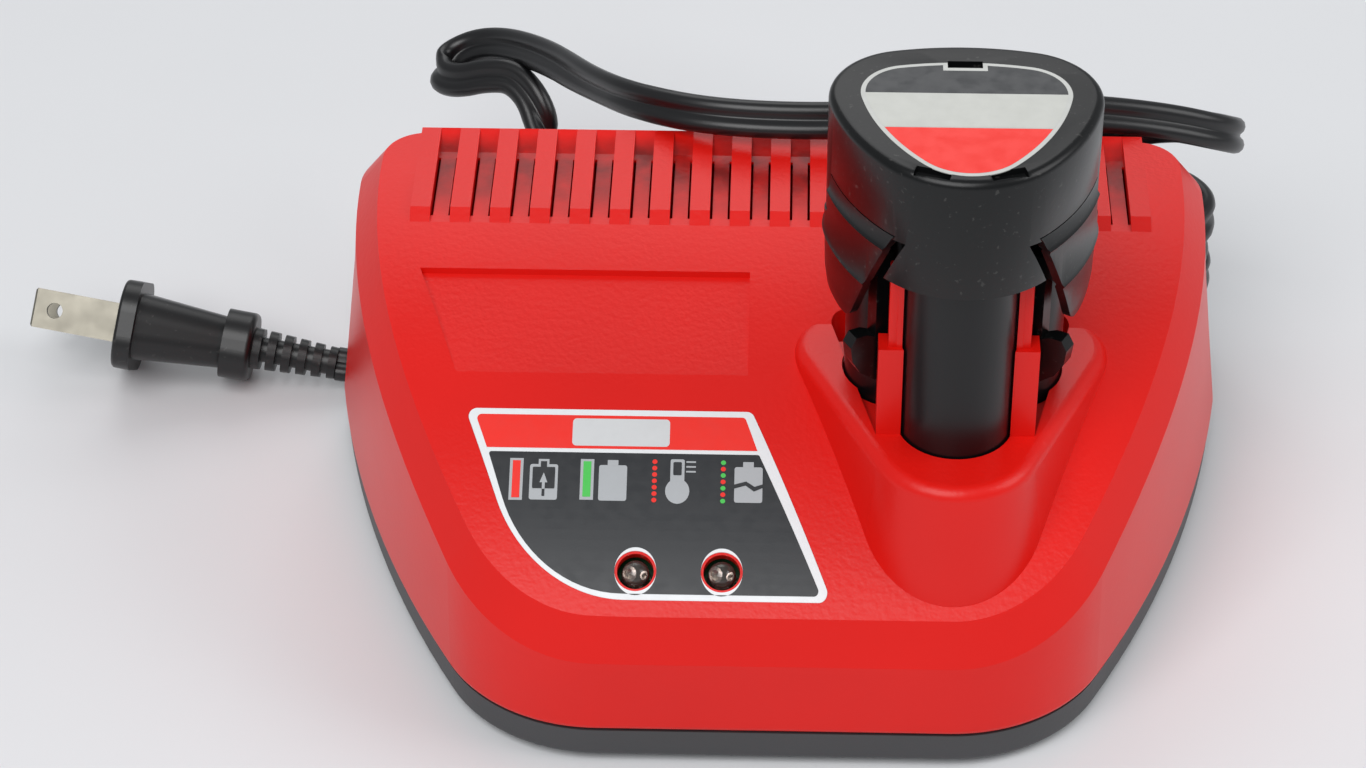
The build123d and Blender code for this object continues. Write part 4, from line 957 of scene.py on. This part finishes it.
@dataclass
class Latch:
    """One squeeze latch, seen along its flank of the cap: u rearwards, z up, v outwards."""

    outline: BowedTriangle
    side: int
    start: Flat = (31.3, -27.8)
    top: float = 104.0
    tip: float = 79.3
    skin: float = 1.6
    seam: float = 0.2
    inner: float = 8.5
    reach: float = 22.0
    leg: Flat = (8.6, 11.4)

    def place(self, u: float, v: float, z: float) -> Point:
        """Turn a place on the flank into the frame's axes."""
        x = u * 0.5 + v * math.sqrt(0.75)
        y = u * math.sqrt(0.75) - v * 0.5
        return (self.start[0] + self.side * x, self.start[1] + y, z)

    def across(self, outline: Sequence[Flat], near: float, far: float) -> Mesh:
        """Closed body across the flank over an outline in u and z, from v near to v far."""
        return loft([[self.place(u, v, z) for u, z in outline] for v in (near, far)])

    def window(self, growth: float) -> Mesh:
        """Room of the grip in the cap's skin, grown at its top and its ends."""
        g, top, tip = growth, self.top, self.tip
        outline = [(-1.3 - g, top + g), (19.5 + g, top + g), (21.0 + g, 95.5), (32.3 + g, 90.5)]
        outline += [(32.3 + g, tip + 2.0), (29.0, tip - g), (14.6, tip - g), (12.2 - g, tip + 0.4)]
        outline += [(10.4 - g, tip + 1.6), (9.4 - g, tip + 3.0), (-0.8 - g, top - 0.7)]
        return self.across(outline, self.inner - 3, self.reach)

    def slit(self) -> Mesh:
        """Slanting gap between the skirt and the grip."""
        outline = [(-3.5, 103.5), (-0.8, 103.3), (4.6, 92.0), (1.9, 92.0)]
        return self.across(outline, self.inner - 3, self.reach)

    def build(self, name: str, material: Material) -> Object:
        """Make the grip, its leg and its hook as one piece.

        Args:
            name: name of the piece.
            material: its finish.

        Returns:
            The latch.
        """
        levels = [(self.tip - 0.5, -0.5), (82.5, 0.0), (89.9, 0.2), (90.6, 0.65), (91.3, 0.3)]
        levels += [(99.9, 0.25), (100.6, 0.65), (101.3, 0.2), (self.top + 0.5, 0.0)]
        hollow = [(z, growth - self.skin) for z, growth in levels]
        # The hollow runs past the grip at both ends, so that it stays open there.
        for end, past in ((0, -1.0), (-1, 1.0)):
            hollow[end] = (hollow[end][0] + past, hollow[end][1])
        grip = mesh_piece(name, loft(self.outline.rings(levels, 16)), material)
        carve(grip, loft(self.outline.rings(hollow, 16)))
        carve(grip, self.window(0.0), "INTERSECT")
        near, far = self.leg
        for foot, head, width in ((66.0, 92.5, 11.6), (88.5, 92.4, 15.2)):
            bar = [(near, foot), (far, foot), (far, head), (near, head)]
            carve(grip, self.across(bar, self.inner, width), "UNION")
        hook = [(8.6, 66.0), (11.5, 66.0), (14.5, 68.6), (16.1, 71.5), (16.5, 74.6)]
        hook += [(15.4, 76.4), (13.2, 76.3), (11.5, 75.4), (8.6, 75.4)]
        blade = [[self.place(u, v, z) for v, z in hook] for u in self.leg]
        carve(grip, loft(blade), "UNION")
        ease_edges(grip, 0.35)
        smooth(grip, 32)
        return grip


@dataclass
class Battery:
    """Stick battery: cap, label and latches over the dressed stem."""

    finishes: Finishes
    cap: BowedTriangle = BowedTriangle(27.9, 23.6, 12.8, 18.5, 14.0)
    label: BowedTriangle = BowedTriangle(24.9, 18.4, 9.0, 10.6, 8.4)
    cap_bottom: float = 94.5
    cap_top: float = 118.0
    wall: float = 2.2
    rounding: float = 1.5
    border: float = 0.8
    notch_half: float = 3.0
    notch_floor: float = -6.4
    foil_top: float = 0.06
    ink: float = 0.03

    def build(self) -> None:
        """Make the cap, its label and its latches."""
        latches = {"right": Latch(self.cap, 1), "left": Latch(self.cap, -1)}
        self.shell(list(latches.values()))
        for key, latch in latches.items():
            piece = latch.build(f"{key}_latch_grip", self.finishes["cap"])
            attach(piece, f"{key}_latch")
            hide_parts(f"{key}_release_latch")
        self.plate()
        self.bands()

    def notches(self) -> list[Mesh]:
        """Three small notches in the cap's top: the rear one first, then two beside the nose."""
        middle, deep = STEM_MIDDLE[0], 1.1
        low, high = self.cap_top - 1.2, self.cap_top + 1
        places = [(0.0, middle, -5.2, self.notch_half)]
        places += [(side * 17.0, middle + side * 6.2, -37.7, 3.1) for side in (-1, 1)]
        made = []
        for turn, x, y, half in places:
            lean = Matrix.Rotation(math.radians(turn), 2)
            corners = ((-half, -deep), (half, -deep), (half, deep), (-half, deep))
            ring = [lean @ Vector(corner) for corner in corners]
            made.append(prism([(x + c.x, y + c.y) for c in ring], low, high))
        return made

    def shell(self, latches: Sequence[Latch]) -> None:
        """Make the cap: a hollow skin with a rounded top edge, a deck, and room for the latches."""
        levels = [(self.cap_bottom, 0.0)]
        for k in range(7):
            angle = math.radians(15 * k)
            drop, inset = 1 - math.sin(angle), 1 - math.cos(angle)
            levels.append((self.cap_top - self.rounding * drop, -self.rounding * inset))
        cap = mesh_piece("cap_shell", loft(self.cap.rings(levels)), self.finishes["cap"])
        inner = self.cap.points(-self.wall)
        carve(cap, prism(inner, self.cap_bottom - 1, self.cap_bottom + 1.5))
        carve(cap, prism(inner, self.cap_bottom + 3.1, self.cap_top - self.wall))
        for latch in latches:
            carve(cap, latch.window(latch.seam))
            carve(cap, latch.slit())
        for notch in self.notches():
            carve(cap, notch)
        ease_edges(cap, 0.3)
        smooth(cap, 32)
        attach(cap, "battery")
        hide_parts("battery_cap")

    def plate(self) -> None:
        """Make the label's metal foil, notched at the rear as the cap is."""
        body = prism(self.label.points(0.0), self.cap_top - 0.1, self.cap_top + self.foil_top)
        plate = mesh_piece("cap_label_foil", body, self.finishes["foil"])
        carve(plate, self.notches()[0])
        smooth(plate, 30)
        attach(plate, "battery")
        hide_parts("battery_label")

    def field(self) -> list[Flat]:
        """Printed field inside the label's border, stepped round the rear notch."""
        half = self.notch_half + self.border
        floor = self.notch_floor - self.border
        middle = STEM_MIDDLE[0]
        edge = self.label.points(-self.border)
        rear = [k for k, (x, y) in enumerate(edge) if abs(x - middle) < half and y > floor]
        shoulder = edge[rear[0]][1]
        step = [(middle + half, shoulder), (middle + half, floor)]
        step += [(middle - half, floor), (middle - half, shoulder)]
        return edge[: rear[0]] + step + edge[rear[-1] + 1 :]

    def bands(self) -> None:
        """Print the three bands of the cap's label."""
        zones = {"dark": (-14.2, 10.0), "pale": (-24.4, -14.2), "red": (-60.0, -24.6)}
        level = self.cap_top + self.foil_top + self.ink
        for key, (low, high) in zones.items():
            mesh = bmesh.new()
            mesh.faces.new([mesh.verts.new((x, y, level)) for x, y in self.field()])
            bmesh.ops.triangulate(mesh, faces=list(mesh.faces))
            cut(mesh, low, -1, clear=True)
            cut(mesh, high, 1, clear=True)
            for vertex in mesh.verts:
                vertex.co *= MM
            piece = mesh_piece(f"cap_label_{key}", mesh, self.finishes[key])
            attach(piece, "battery")
            LOG.info("printed %s", piece.name)


# --- cord and plug
@dataclass
class SupplyCord:
    """Flat twin cord from the bushing, through its hank, to the plug."""

    finishes: Finishes
    width: float = 7.2
    thickness: float = 3.6
    hank_middle: Flat = (36.5, 71.0)
    hank_half: float = 37.0
    hank_radius: float = 11.7
    hank_floor: float = 4.9
    turns: int = 5
    samples: int = 8

    lead: tuple[Point, ...] = (
        (-25.0, 79.2, 16.0), (-25.0, 89.0, 16.0), (-21.0, 99.0, 13.0), (-11.5, 105.5, 9.4),
        (1.0, 107.0, 6.6), (12.0, 101.5, 5.2), (18.0, 91.5, 4.6), (27.0, 84.0, 4.5),
    )
    run: tuple[Point, ...] = (
        # Up from the hank's right end and forward over the vents.
        (58.0, 82.5, 42.6), (66.0, 82.5, 44.5), (72.0, 82.6, 46.6), (79.0, 82.0, 48.0),
        (86.0, 79.0, 49.4), (90.6, 71.0, 53.0), (87.2, 62.0, 59.4), (74.0, 57.8, 65.2),
        (55.0, 54.3, 69.4), (32.0, 50.2, 70.6), (8.0, 48.0, 70.4), (-13.0, 49.4, 70.2),
        # Back over the rear edge to the loop at the left.
        (-28.0, 58.2, 67.6), (-38.6, 75.5, 61.0), (-48.0, 94.0, 54.8), (-58.0, 107.2, 49.4),
        (-65.2, 110.4, 46.4), (-70.6, 108.4, 43.4), (-71.0, 103.6, 43.4), (-66.8, 99.8, 44.6),
        # Down behind the housing and out to the plug.
        (-60.6, 97.8, 47.6), (-54.6, 95.6, 48.8), (-49.4, 89.4, 45.0), (-47.5, 84.0, 34.0),
        (-48.4, 80.5, 21.0), (-53.5, 75.0, 11.0), (-61.5, 69.3, 4.4), (-71.5, 64.4, 4.0),
        (-79.3, 59.2, 4.0), (-84.75, 54.34, 4.57), (-89.67, 54.68, 5.38),
    )

    def build(self) -> None:
        line = self.centreline()
        piece = self.twin(line)
        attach(piece, "charger")
        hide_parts("cord_lead", "cord_hank", "power_cord")
        LOG.info("cord is %.3f m long", sum((b - a).length for a, b in zip(line, line[1:])))

    def hank(self) -> list[Point]:
        """Control points of the hank: flat turns stacked up, wound from the rear side."""
        middle_x, middle_y = self.hank_middle
        straight, radius = self.hank_half * 0.7, self.hank_radius
        reach = radius / math.cos(math.radians(18))
        ends = []
        for side, first in ((1, 72), (-1, -108)):
            angles = [math.radians(first - 36 * k) for k in range(5)]
            centre = side * self.hank_half
            ends.append([(centre + reach * math.cos(a), reach * math.sin(a)) for a in angles])
        loop = [(0.0, radius), (straight, radius), *ends[0], (straight, -radius)]
        loop += [(0.0, -radius), (-straight, -radius), *ends[1], (-straight, radius)]
        points: list[Point] = []
        for turn in range(self.turns):
            for k, (x, y) in enumerate(loop):
                # No turn lies quite on the one below it.
                sway = 0.5 * math.sin(2.3 * turn + 0.9 * k)
                height = self.hank_floor + self.width * (turn + k / len(loop))
                points.append((middle_x + x + sway, middle_y + y * (1 + 0.02 * sway), height))
        return points

    def centreline(self) -> list[Vector]:
        """Sample the cord's NURBS line.

        Returns:
            Points along it, in metres.
        """
        points = list(self.lead) + self.hank() + list(self.run)
        curve = bpy.data.curves.new("cord_line", "CURVE")
        curve.dimensions = "3D"
        spline = curve.splines.new("NURBS")
        spline.points.add(len(points) - 1)
        for slot, point in zip(spline.points, points):
            slot.co = (point[0] * MM, point[1] * MM, point[2] * MM, 1.0)
        spline.order_u = 3
        spline.use_endpoint_u = True
        spline.resolution_u = self.samples
        obj = link("cord_line", curve)
        line = [v.co.copy() for v in evaluated(obj).vertices]
        bpy.data.objects.remove(obj)
        return line

    def profile(self) -> list[Flat]:
        """Section of the twin: two rounds joined by a thin web, across and through."""
        radius = self.thickness / 2
        offset = (self.width - self.thickness) / 2
        points = []
        for side, first in ((1, -150), (-1, 30)):
            angles = [math.radians(first + 30 * k) for k in range(11)]
            points += [(side * offset + radius * math.cos(a), radius * math.sin(a)) for a in angles]
        return points

    @staticmethod
    def broad_side(place: Vector) -> Vector:
        """Direction of the cord's width at a place on its route, given in metres."""
        x, y, z = place / MM
        if y < 68 and x > -30:
            return Vector((0.0, 0.62, 0.78))
        if x < -42 and z > 40:
            return Vector((0.3, 0.55, 0.78))
        if x < -44:
            return Vector((-0.35, 0.75, 0.45))
        return Vector((0.0, 0.0, 1.0))

    def twin(self, line: list[Vector]) -> Object:
        """Sweep the twin section along the line with a slowly turning width.

        Args:
            line: points along the cord in metres.

        Returns:
            The cord as a closed mesh.
        """
        last = len(line) - 1
        wanted = [self.broad_side(p) for p in line]
        for _ in range(14):
            wanted = [
                (wanted[max(i - 1, 0)] + wanted[i] + wanted[min(i + 1, last)]).normalized()
                for i in range(len(wanted))
            ]
        section = self.profile()
        rings = []
        for i, place in enumerate(line):
            along = (line[min(i + 1, last)] - line[max(i - 1, 0)]).normalized()
            across = (wanted[i] - along * wanted[i].dot(along)).normalized()
            through = along.cross(across)
            rings.append([place / MM + across * a + through * b for a, b in section])
        piece = mesh_piece("supply_cord", loft(rings), self.finishes["jacket"])
        smooth(piece, 50)
        return piece


# --- studio
@dataclass
class Studio:
    """Pale floor, soft lamps and the camera, whose angles are degrees."""

    eye: Point = (1.06, -524.65, 452.91)
    pitch: float = 37.912
    yaw: float = 1.612
    roll: float = -0.128
    focal_pixels: float = 3607.5
    frame_pixels: float = 1366.0
    centre_shift: float = 19.87
    sensor: float = 36.0
    floor_half: float = 4.0
    world_colour: str = "#e9ecf0"
    world_strength: float = 0.42
    aim: Point = (0, 0, 0.04)

    def build(self) -> None:
        """Set up floor, light and camera."""
        self.floor()
        self.world()
        self.lamp("front_softbox", (-0.3, -0.75, 1.05), 0.9, 11.0)
        self.lamp("side_softbox", (0.95, -0.1, 0.75), 0.7, 4.0)
        self.lamp("rear_softbox", (-0.1, 0.95, 0.95), 0.8, 3.0)
        self.camera()
        bpy.context.scene.view_settings.view_transform = "Standard"

    def floor(self) -> None:
        """Lay the floor sheet."""
        mesh = bmesh.new()
        bmesh.ops.create_grid(mesh, x_segments=1, y_segments=1, size=self.floor_half)
        floor = mesh_piece("studio_floor", mesh, Paper("paper_floor", "#dfe0e2", "#e5e6e8").build())

    def world(self) -> None:
        """Even pale light from all round."""
        world = bpy.data.worlds.new("studio")
        bpy.context.scene.world = world
        world.use_nodes = True
        tree = world.node_tree
        tree.nodes.clear()
        light = {"Color": linear(self.world_colour), "Strength": self.world_strength}
        glow = put(tree, "ShaderNodeBackground", light)
        put(tree, "ShaderNodeOutputWorld", {"Surface": glow.outputs[0]})

    def lamp(self, name: str, place: Point, size: float, power: float) -> None:
        """Hang one square softbox aimed at the charger.

        Args:
            name: name of the lamp.
            place: its place in metres.
            size: its side in metres.
            power: its power in watts.
        """
        data = bpy.data.lights.new(name, "AREA")
        data.size = size
        data.energy = power
        obj = link(name, data)
        obj.location = place
        obj.rotation_mode = "QUATERNION"
        obj.rotation_quaternion = (Vector(self.aim) - Vector(place)).to_track_quat("-Z", "Y")

    def camera(self) -> None:
        """Stand the camera at its place."""
        data = bpy.data.cameras.new("camera")
        data.sensor_width = self.sensor
        data.lens = self.sensor * self.focal_pixels / self.frame_pixels
        data.shift_x = -self.centre_shift / self.frame_pixels
        data.clip_start, data.clip_end = 0.01, 20.0
        stand = Matrix.Translation(Vector(self.eye) * MM)
        # Pitch is the angle below level, while a camera that isn't turned looks straight down.
        for angle, axis in ((self.yaw, "Z"), (90 - self.pitch, "X"), (self.roll, "Z")):
            stand = stand @ Matrix.Rotation(math.radians(angle), 4, axis)
        obj = link("camera", data)
        obj.matrix_world = stand
        bpy.context.scene.camera = obj


def main() -> None:
    """Dress the charger, add its pieces and light it."""
    logging.basicConfig(level=logging.INFO, format="%(message)s")
    finishes = {key: recipe.build() for key, recipe in RECIPES.items()}
    dress_nodes(finishes)
    housing = Housing(finishes)
    housing.guides()
    housing.bay_floor()
    StatusLabel(finishes).build()
    housing.lead_frames()
    Battery(finishes).build()
    SupplyCord(finishes).build()
    Studio().build()
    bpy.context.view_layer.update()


if __name__ == "__main__":
    main()
